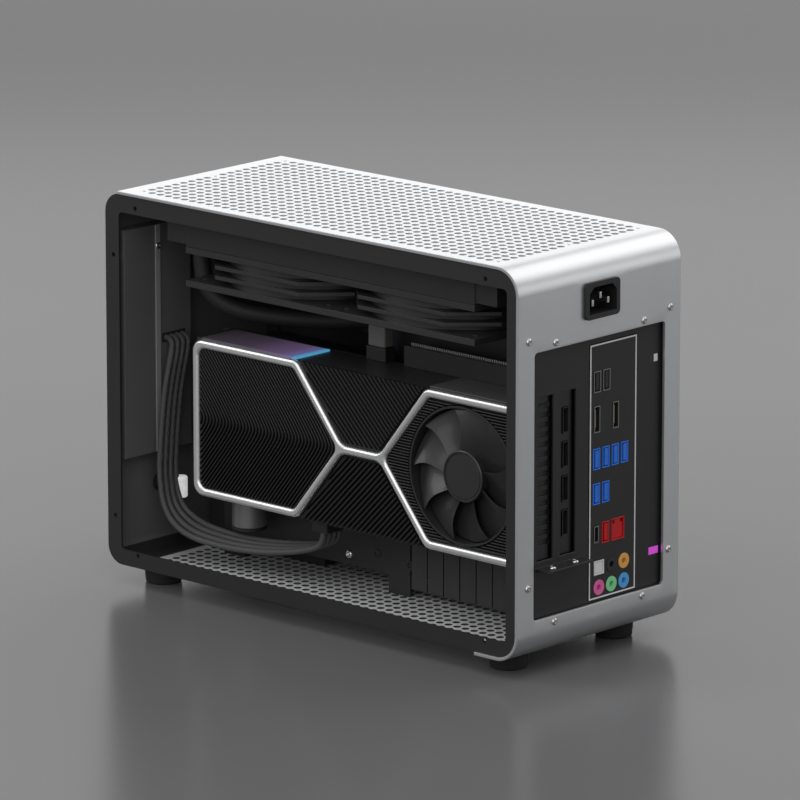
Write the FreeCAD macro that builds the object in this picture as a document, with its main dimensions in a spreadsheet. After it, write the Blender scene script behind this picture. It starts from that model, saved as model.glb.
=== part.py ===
"""Small-form-factor computer case, opened on one side, with the machine that it holds.

+X is the rear (ports and mains inlet), -Y the open side, +Z up. The origin is the middle of the
footprint at the height of the feet. Millimetres.
"""
import FreeCAD, Part
import math
import os
import re

import Sketcher
from FreeCAD import Placement, Rotation, Vector

# Driving sizes: one word each, held as text cells of the sheet
SIZES = {
    # overall body
    "front_depth": 342.5, "case_width": 147, "inner_height": 237, "foot_height": 11,
    "skin": 2, "bend_radius": 15, "front_radius": 12, "lip_length": 34.7, "top_front_gap": 11.6,
    "steel": 1.5, "panel_skin": 1.2, "ledge_reach": 9,
    # vents in the top and the floor
    "vent_pitch": 14, "vent_radius": 4.6, "vent_margin": 16,
    # side frames
    "band_front": 11.5, "band_rear": 8.2, "band_top": 11.3, "band_bottom": 10, "window_radius": 3,
    "tap_radius": 1.5, "tap_front_inset": 26, "tap_rear": 25.2, "tap_drop": 7.3, "tap_low": 228.8,
    "edge_margin": 1, "edge_tap_inset": 6.7, "edge_tap_high": 39.1, "edge_tap_low": 206,
    # rear
    "rear_window_near": 14.8, "rear_window_edge": 14.2, "rear_window_top": 50.7, "rear_window_low": 214.6,
    "rear_plate_depth": 1.5, "rear_plate_top": 39.5, "rear_plate_low": 221.5,
    "slot_one": 28.65, "slot_pitch": 20.32, "slot_wide": 13.8, "slot_top": 79.5, "slot_low": 180.1,
    "ledge_drop": 184, "ledge_near": 20, "ledge_far": 60, "ledge_thick": 1.6,
    "inlet_shift": 0.2, "inlet_top": 15.5, "inlet_wide": 30.8, "inlet_tall": 22.7, "inlet_flange": 2,
    "inlet_deep": 16, "inlet_neck": 1.3, "socket_wide": 24.6, "socket_tall": 16.6, "socket_deep": 14,
    "socket_chamfer": 4, "pin_wide": 2, "pin_tall": 4, "pin_long": 12, "pin_spread": 7, "pin_rise": 2,
    "screw_radius": 2.6, "screw_head": 1.6, "screw_shank": 1.4, "screw_hole": 1.6,
    "screw_edge": 9.5, "screw_spread_close": 40, "screw_high": 42.8, "screw_mid_high": 47,
    "screw_low": 193.6, "screw_mid_low": 218.3,
    # feet
    "foot_radius": 12, "foot_rear": 27.5, "foot_front_inset": 24.5, "foot_inset": 25.5, "foot_chamfer": 1.5,
    # front cable cover
    "cover_deep": 11.5, "cover_near": 6, "cover_far": 64.5, "cover_top": 24.5, "cover_low": 170,
    "cover_cut": 12, "cover_wall": 1.2, "seam_middle": 35, "seam_wide": 4, "seam_rise": 0.8,
    "cable_slot_middle": 49.2, "cable_slot_drop": 98, "cable_slot_wide": 21, "cable_slot_tall": 6,
    # power button
    "button_radius": 8, "button_long": 8.5, "button_edge": 35, "button_drop": 32, "button_travel": 1.5,
    "button_gap": 0.2, "sleeve_wall": 1.4, "sleeve_rim": 2, "sleeve_spare": 2.5,
    # motherboard tray and board
    "tray_near": 61.5, "tray_thick": 1.2, "tray_top": 90, "tray_low": 224, "tray_setback": 42.5,
    "window_front": 141, "window_rear": 47, "window_top": 100, "tray_tab": 18,
    "board_size": 170, "board_thick": 1.6, "board_gap": 6.5, "board_rear": 2.9, "board_top": 54.5,
    "hole_inset": 6.4, "standoff_drop": 32, "standoff_radius": 3,
    "board_slot_long": 89, "board_slot_rear": 50, "board_slot_tall": 11, "board_slot_drop": 214,
    # ports
    "io_near": 67.8, "io_far": 110.7, "io_top": 55.2, "io_low": 213.5, "io_gap": 0.15, "port_deep": 12,
    "port_wall": 0.7, "port_recess": 7, "port_proud": 0.6, "port_first": 74.5, "port_pitch": 8.5,
    "usb_wide": 6.4, "usb_tall": 13.2, "video_wide": 5.4, "video_tall": 16.5, "usb_c_wide": 4.4,
    "usb_c_tall": 10.4, "net_middle": 94.3, "net_wide": 11.7, "net_tall": 13.7,
    "row_black": 78.7, "row_video": 101.8, "row_blue": 126.4, "row_blue_low": 148, "row_red": 173,
    "row_jack": 194.1, "row_jack_low": 206.4, "jack_first": 77.3, "jack_pitch": 11.4,
    "jack_radius": 4.75, "jack_bore": 1.8, "optical_wide": 9, "optical_tall": 8.8,
    # graphics card
    "card_front": 286, "card_rear": 4, "card_near": 19, "card_back": 59, "card_middle": 137.4,
    "card_half": 49.7, "card_centre": 144, "bar_wide": 5.2, "frame_deep": 5, "frame_radius": 8,
    "loop_shoulder": 53.5, "loop_point": 13, "plate_thick": 3, "fin_pitch": 5, "fin_wide": 2.4,
    "fin_tall": 2.5, "fin_base": 1.2, "fan_offset": 83, "fan_well": 43.4, "fan_well_deep": 20,
    "ring_outer": 43, "ring_wall": 1.5, "ring_tall": 9,
    "card_fan_radius": 40.6, "card_hub": 16, "card_blades": 9, "card_fan_deep": 10,
    "card_blade_sweep": -5, "card_blade_turn": 62, "blade_root": 6, "blade_flare": 0.75, "blade_lift": 1,
    "fan_proud": 2,
    "bracket_thick": 1, "bracket_top": 76, "bracket_low": 186, "bracket_near": 20.2,
    "vent_fin": 3, "vent_fin_pitch": 6, "vent_fins": 15, "vent_rim": 1,
    "card_port_wide": 5.5, "card_port_tall": 16, "card_port_pitch": 21, "card_port_first": 98,
    "card_port_deep": 14,
    "light_inset": 6, "light_thick": 1.2, "light_long": 76, "light_near": 27, "light_far": 52,
    "plug_x": 187, "plug_across": 40, "plug_wide": 22, "plug_long": 13, "plug_tall": 9,
    # riser
    "riser_front": 139, "riser_rear": 50, "riser_near": 53.5, "riser_far": 60.5, "riser_top": 74.5,
    "riser_pin": 1, "riser_pin_pitch": 3, "riser_pin_tall": 1.6, "riser_pins": 28, "riser_gap": 0.2,
    "strip_count": 6, "strip_pitch": 13.4, "strip_wide": 12.6, "strip_thick": 0.6, "strip_low": 229,
    "strip_return": 212,
    # cooling
    "radiator_drop": 1.5, "radiator_tall": 27, "radiator_wide": 120,
    "radiator_front": 285, "tank_long": 17, "tank_step": 1, "fin_row_pitch": 12, "fin_row_gap": 2,
    "fan_size": 120, "fan_tall": 25, "fan_flange": 4, "fan_bore": 57.6, "fan_wall": 1, "fan_cut": 25,
    "fan_rib": 2.4, "fan_rib_inset": 0.4, "fan_rib_high": 8.2, "fan_rib_low": 14.6,
    "fan_hole": 2.2, "fan_hole_inset": 7.5, "rotor_radius": 56.8, "rotor_hub": 21, "rotor_blades": 9,
    "rotor_tall": 17, "rotor_blade_sweep": 24, "rotor_blade_turn": 58, "blade_thick": 1.4,
     "arm_wide": 5, "arm_tall": 3.4, "running_gap": 0.5,
    "axle_radius": 2, "axle_gap": 0.05, "axle_long": 2.4,
    "hose_radius": 5.5, "hose_pitch": 17, "pump_front": 117, "pump_wide": 64, "pump_top": 92, "pump_deep": 50,
    "memory_inset": 6.9, "memory_thick": 7, "memory_pitch": 10, "memory_deep": 29, "memory_long": 133,
    # power supply
    "supply_setback": 12.5, "supply_long": 100, "supply_gap": 1.8, "supply_thick": 63.5, "supply_tall": 125,
    # graphics leads
    "lead_radius": 1.9, "lead_pitch": 4.7,
}

doc = FreeCAD.newDocument("Case")
sheet = doc.addObject("Spreadsheet::Sheet", "Sizes")
for row, (alias, number) in enumerate(SIZES.items(), start=1):
    sheet.set(f"A{row}", alias)
    sheet.set(f"B{row}", str(number))
    sheet.setAlias(f"B{row}", alias)
doc.recompute()

# Datum planes of the case: rear sheet's inside, open side, underside of the top sheet, floor
PLACES = {
    "rear_plane": "((front_depth - ledge_reach) / 2)",
    "near_plane": "(-case_width / 2)",
    "roof_plane": "(foot_height + skin + inner_height)",
    "band_plane": "(panel_skin + steel)",
    "floor_top": "(inner_height - steel)",
    "board_near": "(tray_near + tray_thick + board_gap)",
    "board_far": "(tray_near + tray_thick + board_gap + board_thick)",
    "fan_top": "(radiator_drop + radiator_tall)",
    "cover_face": "(front_depth - cover_deep)",
    "tray_front": "(front_depth - tray_setback)",
    "supply_front": "(front_depth - supply_setback)",
    "supply_near": "(case_width - band_plane - supply_gap - supply_thick)",
    "radiator_near": "((case_width - radiator_wide) / 2)",
    "memory_front": "(board_rear + board_size - memory_inset)",
    "vent_centre": "(front_depth / 2)",
    "vent_columns": "floor((front_depth - top_front_gap - bend_radius - vent_margin) / vent_pitch)",
    "floor_vent_columns": "(vent_columns - 2)",
    "vent_rows": "floor((case_width - vent_margin) / vent_pitch)",
    "rear_window_far": "(case_width - rear_window_edge)",
    "inlet_middle": "(case_width / 2 + inlet_shift)",
    "screw_spread_wide": "(case_width / 2 - screw_edge)",
    "button_across": "(case_width - button_edge)",
    "sleeve_long": "(button_long + button_travel + sleeve_spare)",
}
WORD = re.compile(r"[a-z_]+")
nodes = []


def ex(text):
    """Writes an expression on sizes and places as an expression on the sheet's cells."""
    def cell(match):
        word = match.group(0)
        if word in PLACES:
            return ex(PLACES[word])
        return f"Sizes.{word}" if word in SIZES else word
    return WORD.sub(cell, str(text))


def val(text):
    """Gives an expression's value from the sheet."""
    return float(sheet.evalExpression(ex(text)))


def X(text):
    """Distance in front of the rear sheet's inner face."""
    return f"(rear_plane - ({text}))"


def Y(text):
    """Distance from the open side."""
    return f"(near_plane + ({text}))"


def Z(text):
    """Distance below the top sheet."""
    return f"(roof_plane - ({text}))"


def point(x, y, z):
    """A point by its distances from the rear, the open side and the top."""
    return Vector(val(X(x)), val(Y(y)), val(Z(z)))


def bind(thing, **links):
    """Binds properties to sizes."""
    for name, text in links.items():
        thing.setExpression(name.replace("__", "."), ex(text))
    return thing


def place(thing, x, y, z):
    return bind(thing, Placement__Base__x=x, Placement__Base__y=y, Placement__Base__z=z)


def block(name, x, y, z):
    """Box between two distances along each direction (front and rear, near and far, low and top)."""
    thing = doc.addObject("Part::Box", name)
    bind(thing, Length=f"({x[0]}) - ({x[1]})", Width=f"({y[1]}) - ({y[0]})", Height=f"({z[0]}) - ({z[1]})")
    return place(thing, X(x[0]), Y(y[0]), Z(z[0]))


TURNS = {"x": Rotation(Vector(0, 1, 0), 90), "y": Rotation(Vector(1, 0, 0), -90), "z": Rotation()}


def rod(name, axis, centre, radius, length):
    """Cylinder from its centre point along +axis; the centre is given as for a block."""
    thing = doc.addObject("Part::Cylinder", name)
    thing.Placement = Placement(Vector(), TURNS[axis])
    bind(thing, Radius=radius, Height=length)
    return place(thing, X(centre[0]), Y(centre[1]), Z(centre[2]))


def fuse(name, *pieces):
    thing = doc.addObject("Part::MultiFuse", name)
    thing.Shapes = list(pieces)
    thing.Refine = True
    return thing


def cut(name, base, *tools):
    thing = doc.addObject("Part::Cut", name)
    thing.Base = base
    thing.Tool = tools[0] if len(tools) == 1 else group(name + "_tools", *tools)
    thing.Refine = True
    return thing


def group(name, *pieces):
    thing = doc.addObject("Part::Compound", name)
    thing.Links = list(pieces)
    return thing


def solid(name, shape):
    """A shape made by code from the sheet's sizes."""
    thing = doc.addObject("Part::Feature", name)
    thing.Shape = shape
    return thing


def keep(thing, name):
    """Marks a finished sub-part."""
    thing.Label = name
    nodes.append(thing)
    return thing


def sketch_box(body, name, plane, lift, u, v):
    """Rectangle sketch on one of the body's own planes, lifted along its normal."""
    sketch = body.newObject("Sketcher::SketchObject", name)
    support = [item for item in body.Origin.OriginFeatures if item.Role == plane][0]
    sketch.AttachmentSupport = [(support, "")]
    sketch.MapMode = "FlatFace"
    bind(sketch, AttachmentOffset__Base__z=lift)
    corners = [(u[0], v[0]), (u[1], v[0]), (u[1], v[1]), (u[0], v[1])]
    spots = [Vector(val(a), val(b), 0) for a, b in corners]
    for index in range(4):
        sketch.addGeometry(Part.LineSegment(spots[index], spots[(index + 1) % 4]))
    for index in range(4):
        sketch.addConstraint(Sketcher.Constraint("Coincident", index, 2, (index + 1) % 4, 1))
    for index, (a, b) in enumerate(corners):
        for kind, text in (("DistanceX", a), ("DistanceY", b)):
            if index in (1, 3) and kind == ("DistanceY" if index == 1 else "DistanceX"):
                continue
            number = sketch.addConstraint(Sketcher.Constraint(kind, -1, 1, index, 1, val(text)))
            sketch.setExpression(f"Constraints[{number}]", ex(text))
    sketch.addConstraint(Sketcher.Constraint("Horizontal", 0))
    sketch.addConstraint(Sketcher.Constraint("Vertical", 3))
    doc.recompute()
    return sketch


def round_edges(body, name, radius, chosen):
    """Fillets the edges along Y whose middle satisfies the test."""
    doc.recompute()
    base = body.Tip
    picked = []
    for index, edge in enumerate(base.Shape.Edges, start=1):
        along = edge.tangentAt(edge.FirstParameter)
        straight = edge.Curve.TypeId == "Part::GeomLine"
        if straight and abs(abs(along.y) - 1) < 1e-6 and chosen(edge.CenterOfMass):
            picked.append(f"Edge{index}")
    fillet = body.newObject("PartDesign::Fillet", name)
    fillet.Base = (base, picked)
    bind(fillet, Radius=radius)
    doc.recompute()
    return fillet


# Polygons in the plane of the open side, for the pieces of the graphics card

def rounded_loop(points, inset, radius):
    """Closed wire of a convex polygon (clockwise or not), drawn in by inset, with rounded corners."""
    middle = sum((Vector(*p) for p in points), Vector()) * (1 / len(points))
    lines = []
    for start, end in zip(points, points[1:] + points[:1]):
        a, b = Vector(*start), Vector(*end)
        along = (b - a).normalize()
        inward = Vector(-along.y, along.x, 0)
        if inward.dot(middle - a) < 0:
            inward = inward * -1
        lines.append((a + inward * inset, along))
    corners = []
    for (a, d), (b, e) in zip(lines[-1:] + lines[:-1], lines):
        cross = d.x * e.y - d.y * e.x
        reach = ((b - a).x * e.y - (b - a).y * e.x) / cross
        corners.append(a + d * reach)
    edges, last, first = [], None, None
    for index, corner in enumerate(corners):
        back = (corners[index - 1] - corner).normalize()
        ahead = (corners[(index + 1) % len(corners)] - corner).normalize()
        half = back.getAngle(ahead) / 2
        tangent = radius / math.tan(half)
        start, end = corner + back * tangent, corner + ahead * tangent
        bisector = (back + ahead).normalize()
        middle_point = corner + bisector * (radius / math.sin(half) - radius)
        if last:
            edges.append(Part.makeLine(last, start))
        first = first or start
        edges.append(Part.Arc(start, middle_point, end).toShape())
        last = end
    edges.append(Part.makeLine(last, first))
    return Part.Wire(edges)


def clip(polygon, normal, low, high):
    """Part of a convex polygon between two parallel lines."""
    for direction, bound in ((normal, low), (normal * -1, -high)):
        kept = []
        for a, b in zip(polygon, polygon[1:] + polygon[:1]):
            da, db = a.dot(direction) - bound, b.dot(direction) - bound
            if da >= 0:
                kept.append(a)
            if da * db < 0:
                kept.append(a + (b - a) * (da / (da - db)))
        polygon = kept
    return polygon


def card_face(shape, near, deep):
    """Stands a flat shape drawn about the card's centre up in the card's plane and gives it depth."""
    raised = shape.extrude(Vector(0, 0, -deep))
    raised.Placement = Placement(point("card_centre", near, "card_middle"), Rotation(Vector(1, 0, 0), 90))
    return raised


def ridges(polygon, directions):
    """Fins over a convex polygon: parallel ridges on a thin base, each half in its own direction."""
    points = [Vector(*p) for p in polygon]
    base = Part.Face(Part.makePolygon(points + points[:1]))
    shapes = [card_face(base, val("card_near + frame_deep - fin_base"), val("fin_base"))]
    pitch, width = val("fin_pitch"), val("fin_wide")
    for area, normal in directions:
        region = [Vector(*p) for p in area]
        spans = [p.dot(normal) for p in region]
        step = math.ceil(min(spans) / pitch)
        while step * pitch + width < max(spans):
            strip = clip(region, normal, step * pitch, step * pitch + width)
            if len(strip) > 2:
                face = Part.Face(Part.makePolygon(strip + strip[:1]))
                near = val("card_near + frame_deep - fin_base - fin_tall")
                shapes.append(card_face(face, near, val("fin_tall")))
            step += 1
    return shapes


def blades(count, hub, radius, deep, thick, sweep, turn):
    """Swept fan blades about +Z, from inside the hub to the tip, as one shape each."""
    made = []
    sections = []
    for share in (0, 0.5, 1):
        reach = hub - thick + (radius - hub + thick) * share
        lag = math.radians(sweep) * share * share
        root, flare = val("blade_root"), val("blade_flare")
        half = math.radians(turn) / 2 * (hub + root) / (reach + root) * (1 + flare * share)
        ring = []
        for angle, height in ((-half, 0), (half, deep - thick), (half, deep), (-half, thick)):
            ring.append(Vector(reach * math.cos(angle + lag), reach * math.sin(angle + lag), height))
        sections.append(Part.makePolygon(ring + ring[:1]))
    blade = Part.makeLoft(sections, True, True)
    for index in range(count):
        copy = blade.copy()
        copy.rotate(Vector(), Vector(0, 0, 1), 360 / count * index)
        made.append(copy)
    return made


def lead(points, radius):
    """Tube along straight runs joined by tangent arcs, each as large as its two runs allow."""
    edges, radii, start = [], [], points[0]
    for before, corner, after in zip(points, points[1:], points[2:]):
        back, ahead = before - corner, after - corner
        half = (math.pi - back.getAngle(ahead)) / 2
        tangent = 0.45 * min(back.Length, ahead.Length)
        bend = tangent / math.tan(half)
        radii.append(bend)
        back, ahead = back.normalize(), ahead.normalize()
        bisector = (back + ahead).normalize()
        middle = corner + bisector * (bend / math.cos(half) - bend)
        edges.append(Part.makeLine(start, corner + back * tangent))
        edges.append(Part.Arc(corner + back * tangent, middle, corner + ahead * tangent).toShape())
        start = corner + ahead * tangent
    edges.append(Part.makeLine(start, points[-1]))
    path = Part.Wire(edges)
    ring = Part.Wire(Part.makeCircle(radius, points[0], points[1] - points[0]))
    tube = path.makePipeShell([ring], True, False)
    share = tube.Volume / (math.pi * radius * radius * path.Length)
    print("route", round(path.Length, 1), "mm, least radius", round(min(radii), 1), "volume share",
          round(share, 4))
    return tube


def folded_shell():
    """One folded sheet: vented top, rear wall with its window, short lip under the floor."""
    width = ("0", "case_width")
    top = block("shell_top", ("front_depth - top_front_gap", "bend_radius"), width, ("0", "-skin"))
    rear = block("shell_rear", ("0", "-skin"), width, ("inner_height - bend_radius", "bend_radius"))
    lip = block("shell_lip", ("lip_length - skin", "bend_radius"), width,
                ("inner_height + skin", "inner_height"))
    bends = []
    for side, drop, low, high in (("upper", "bend_radius", "bend_radius", "-skin"),
                                  ("lower", "inner_height - bend_radius", "inner_height + skin",
                                   "inner_height - bend_radius")):
        outer = rod(f"{side}_bend_outer", "y", ("bend_radius", "0", drop), "bend_radius + skin",
                    "case_width")
        inner = rod(f"{side}_bend_inner", "y", ("bend_radius", "0", drop), "bend_radius", "case_width")
        quarter = block(f"{side}_bend_quarter", ("bend_radius", "-skin"), width, (low, high))
        bend = doc.addObject("Part::MultiCommon", f"{side}_bend")
        bend.Shapes = [cut(f"{side}_bend_ring", outer, inner), quarter]
        bends.append(bend)
    sheet_metal = fuse("shell_sheet", top, rear, lip, *bends)
    window = block("rear_window", ("skin", "-skin * 2"), ("rear_window_near", "rear_window_far"),
                   ("rear_window_low", "rear_window_top"))
    opening = block("inlet_opening", ("skin", "-skin * 2"),
                    ("inlet_middle - inlet_wide / 2 + inlet_neck",
                     "inlet_middle + inlet_wide / 2 - inlet_neck"),
                    ("inlet_top + inlet_tall - inlet_neck", "inlet_top + inlet_neck"))
    holes = []
    for number, (across, drop) in enumerate(SCREWS):
        holes.append(rod(f"screw_hole_{number}", "x", ("skin", across, drop), "screw_hole", "skin * 3"))
    vents = vent_tools("top_vents", "vent_columns", "vent_centre", "-skin * 2")
    keep(cut("outer_shell", sheet_metal, window, opening, vents, *holes), "outer_shell")


def vent_tools(name, columns, middle, drop):
    """Square grid of round punches, three sheets long."""
    pins = []
    pitch = val("vent_pitch")
    across, along = round(val("vent_rows")), round(val(columns))
    for row in range(across):
        for column in range(along):
            spot = point(middle, "case_width / 2", drop)
            spot = spot + Vector((column - (along - 1) / 2) * pitch, (row - (across - 1) / 2) * pitch, 0)
            pins.append(Part.makeCylinder(val("vent_radius"), val("skin * 4"), spot, Vector(0, 0, -1)))
    return solid(name, Part.makeCompound(pins))


SCREWS = [("case_width / 2 + screw_spread_wide", "screw_high"),
          ("case_width / 2 - screw_spread_wide", "screw_high"),
          ("case_width / 2 + screw_spread_close", "screw_mid_high"),
          ("case_width / 2 - screw_spread_close", "screw_mid_high"),
          ("case_width / 2 + screw_spread_wide", "screw_low"), ("case_width / 2 - screw_spread_wide",
                                                                "screw_low"),
          ("case_width / 2 + screw_spread_close", "screw_mid_low"),
          ("case_width / 2 - screw_spread_close", "screw_mid_low")]
TAPS = [("front_depth - tap_front_inset", "tap_drop"), ("tap_rear", "tap_drop"),
        ("front_depth - tap_front_inset", "tap_low"), ("tap_rear", "tap_low"),
        ("front_depth - edge_tap_inset", "edge_tap_high"), ("front_depth - edge_tap_inset", "edge_tap_low")]


def side_frame(name, outer):
    """Flat steel ring that closes one side of the chassis and takes the side panel's screws."""
    body = doc.addObject("PartDesign::Body", name + "_body")
    lift = f"-({Y(outer)})"
    outline = sketch_box(body, name + "_outline", "XZ_Plane", lift, (X("front_depth"), X("0")),
                         (Z("inner_height"), Z("0")))
    pad = body.newObject("PartDesign::Pad", name + "_pad")
    pad.Profile = outline
    pad.Reversed = True
    bind(pad, Length="steel")
    middle = val(X("front_depth / 2"))
    round_edges(body, name + "_front_corners", "front_radius", lambda spot: spot.x < middle)
    round_edges(body, name + "_rear_corners", "bend_radius + io_gap * 2", lambda spot: spot.x > middle)
    window = sketch_box(body, name + "_window", "XZ_Plane", lift,
                        (X("front_depth - band_front"), X("band_rear")), (Z("inner_height - band_bottom"),
                                                                          Z("band_top")))
    pocket = body.newObject("PartDesign::Pocket", name + "_pocket")
    pocket.Profile = window
    pocket.Type = 1
    pocket.Midplane = True
    full = pad.Shape.Volume
    doc.recompute()
    if body.Shape.Volume > full * 0.9:
        raise ValueError(name + ": the window cut nothing")
    low, high = val(Z("inner_height - edge_margin")), val(Z("edge_margin"))
    front, rear = val(X("front_depth - edge_margin")), val(X("edge_margin"))
    round_edges(body, name + "_window_corners", "window_radius",
                lambda spot: front < spot.x < rear and low < spot.z < high)
    taps = [rod(f"{name}_tap_{number}", "y", (along, outer, drop), "tap_radius", "steel")
            for number, (along, drop) in enumerate(TAPS)]
    keep(cut(name + "_tapped", body, *taps), name)


def chassis():
    """Black sheet-metal pieces between the two side frames."""
    inside = ("band_plane", "case_width - band_plane")
    wall = block("front_wall", ("front_depth", "front_depth - steel"), inside,
                 ("inner_height - front_radius", "front_radius"))
    pieces = [wall]
    for side, drop, low, high in (("upper", "front_radius", "front_radius", "0"),
                                  ("lower", "inner_height - front_radius", "inner_height",
                                   "inner_height - front_radius")):
        middle = ("front_depth - front_radius", "band_plane", drop)
        outer = rod(f"{side}_front_outer", "y", middle, "front_radius", "case_width - 2 * band_plane")
        inner = rod(f"{side}_front_inner", "y", middle, "front_radius - steel",
                    "case_width - 2 * band_plane")
        quarter = block(f"{side}_front_quarter", ("front_depth", "front_depth - front_radius"), inside,
                        (low, high))
        bend = doc.addObject("Part::MultiCommon", f"{side}_front_bend")
        bend.Shapes = [cut(f"{side}_front_ring", outer, inner), quarter]
        pieces.append(bend)
    opening = rod("button_opening", "x", ("front_depth + steel", "button_across", "button_drop"),
                  "button_radius + button_gap + sleeve_wall + io_gap", "steel * 3")
    keep(cut("front_panel_cut", fuse("front_panel_sheet", *pieces), opening), "front_panel")

    floor = block("floor_sheet", ("front_depth - front_radius", "bend_radius"), inside,
                  ("inner_height", "floor_top"))
    floor_vents = vent_tools("floor_vents", "floor_vent_columns", "vent_centre", "inner_height - skin * 2")
    keep(cut("floor_panel_cut", floor, floor_vents), "floor_panel")

    roof = block("roof_sheet", ("front_depth - front_radius", "bend_radius"), inside, ("steel", "0"))
    window = block("roof_window", ("radiator_front", "radiator_front - 2 * fan_size"),
                   ("radiator_near + tank_long / 2", "radiator_near + radiator_wide - tank_long / 2"),
                   ("steel * 2", "-steel"))
    keep(cut("roof_frame_cut", roof, window), "roof_frame")

    body = doc.addObject("PartDesign::Body", "far_panel_body")
    outline = sketch_box(body, "far_panel_outline", "XZ_Plane", f"-({Y('case_width - panel_skin')})",
                         (X("front_depth"), X("0")), (Z("inner_height"), Z("0")))
    pad = body.newObject("PartDesign::Pad", "far_panel_pad")
    pad.Profile = outline
    pad.Reversed = True
    bind(pad, Length="panel_skin")
    middle = val(X("front_depth / 2"))
    round_edges(body, "far_panel_front_corners", "front_radius", lambda spot: spot.x < middle)
    round_edges(body, "far_panel_rear_corners", "bend_radius + io_gap * 2", lambda spot: spot.x > middle)
    keep(body, "far_side_panel")


def rear_wall():
    """Recessed black plate behind the rear window, the card ledge, the mains inlet and the rear screws."""
    depth = ("rear_plate_depth + steel", "rear_plate_depth")
    plate = block("rear_plate_sheet", depth, ("band_plane", "case_width - band_plane"),
                  ("rear_plate_low", "rear_plate_top"))
    tools = [block("io_opening", ("rear_plate_depth + 2 * steel", "0"), ("io_near", "io_far"),
                   ("io_low", "io_top"))]
    for number in range(2):
        middle = f"slot_one + {number} * slot_pitch"
        tools.append(block(f"slot_opening_{number}", ("rear_plate_depth + 2 * steel", "0"),
                           (f"{middle} - slot_wide / 2", f"{middle} + slot_wide / 2"), ("slot_low",
                                                                                        "slot_top")))
    ledge = block("slot_ledge", ("rear_plate_depth + steel", "-ledge_reach"), ("ledge_near", "ledge_far"),
                  ("ledge_drop + ledge_thick", "ledge_drop"))
    keep(fuse("rear_plate_solid", cut("rear_plate_cut", plate, *tools), ledge), "rear_plate")

    screws = []
    for number, (across, drop) in enumerate(SCREWS):
        head = rod(f"screw_head_{number}", "x", ("-skin", across, drop), "screw_radius", "screw_head")
        shank = rod(f"screw_shank_{number}", "x", ("rear_plate_depth", across, drop), "screw_shank",
                    "rear_plate_depth + skin")
        screws.append(fuse(f"screw_{number}", head, shank))
    for number in range(2):
        middle = f"slot_one + {number} * slot_pitch"
        screws.append(rod(f"ledge_screw_{number}", "z", ("-ledge_reach / 2", middle, "ledge_drop"),
                          "screw_radius", "screw_head"))
    keep(group("case_screws_group", *screws), "case_screws")

    across = ("inlet_middle - inlet_wide / 2", "inlet_middle + inlet_wide / 2")
    flange = block("inlet_flange_plate", ("-skin", "-skin - inlet_flange"), across,
                   ("inlet_top + inlet_tall", "inlet_top"))
    neck = "(inlet_neck + io_gap)"
    shell = block("inlet_housing", ("inlet_deep", "-skin"),
                  (f"{across[0]} + {neck}", f"{across[1]} - {neck}"),
                  (f"inlet_top + inlet_tall - {neck}", f"inlet_top + {neck}"))
    socket = block("inlet_socket", ("socket_deep - skin - inlet_flange", "-skin - 2 * inlet_flange"),
                   ("inlet_middle - socket_wide / 2", "inlet_middle + socket_wide / 2"),
                   ("inlet_top + inlet_tall / 2 + socket_tall / 2",
                    "inlet_top + inlet_tall / 2 - socket_tall / 2"))
    chamfered = socket_with_corners(socket)
    keep(cut("mains_inlet_cut", fuse("mains_inlet_solid", flange, shell), chamfered), "mains_inlet")
    pins = []
    for number, (shift, rise) in enumerate((("-pin_spread", "-pin_rise"), ("0", "pin_rise"),
                                            ("pin_spread", "-pin_rise"))):
        middle = f"inlet_middle + {shift}"
        height = f"inlet_top + inlet_tall / 2 - ({rise})"
        pins.append(block(f"inlet_pin_{number}",
                          ("socket_deep - skin - inlet_flange",
                           "socket_deep - skin - inlet_flange - pin_long"),
                          (f"{middle} - pin_wide / 2", f"{middle} + pin_wide / 2"),
                          (f"{height} + pin_tall / 2", f"{height} - pin_tall / 2")))
    keep(group("inlet_pins_group", *pins), "inlet_pins")


def socket_with_corners(socket):
    """The socket's hollow: a box whose two upper corners are cut off."""
    wedges = []
    for number, side in enumerate(("-", "+")):
        wedge = doc.addObject("Part::Box", f"inlet_corner_{number}")
        wedge.Placement = Placement(Vector(), Rotation(Vector(1, 0, 0), 45))
        bind(wedge, Length="socket_deep * 2", Width="socket_chamfer * sqrt(2)",
             Height="socket_chamfer * sqrt(2)")
        place(wedge, X("socket_deep"), Y(f"inlet_middle {side} socket_wide / 2"),
              Z("inlet_top + inlet_tall / 2 - socket_tall / 2 + socket_chamfer"))
        wedges.append(wedge)
    return cut("inlet_hollow", socket, *wedges)


def feet():
    """Four turned rubber feet; the front pair is taller by the lip's thickness."""
    for end, along, tall in (("front", "front_depth - foot_front_inset", "foot_height + skin"),
                             ("rear", "foot_rear", "foot_height")):
        for side, across in (("near", "foot_inset"), ("far", "case_width - foot_inset")):
            body = doc.addObject("PartDesign::Body", f"foot_{end}_{side}_body")
            base = sketch_round(body, "foot_radius")
            pad = body.newObject("PartDesign::Pad", f"foot_{end}_{side}_pad")
            pad.Profile = base
            bind(pad, Length=tall)
            doc.recompute()
            low = [f"Edge{number}" for number, edge in enumerate(pad.Shape.Edges, start=1)
                   if edge.Closed and edge.CenterOfMass.z < 0.1]
            chamfer = body.newObject("PartDesign::Chamfer", f"foot_{end}_{side}_edge")
            chamfer.Base = (pad, low)
            bind(chamfer, Size="foot_chamfer")
            place(body, X(along), Y(across), "0")
            keep(body, f"foot_{end}_{side}")


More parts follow.
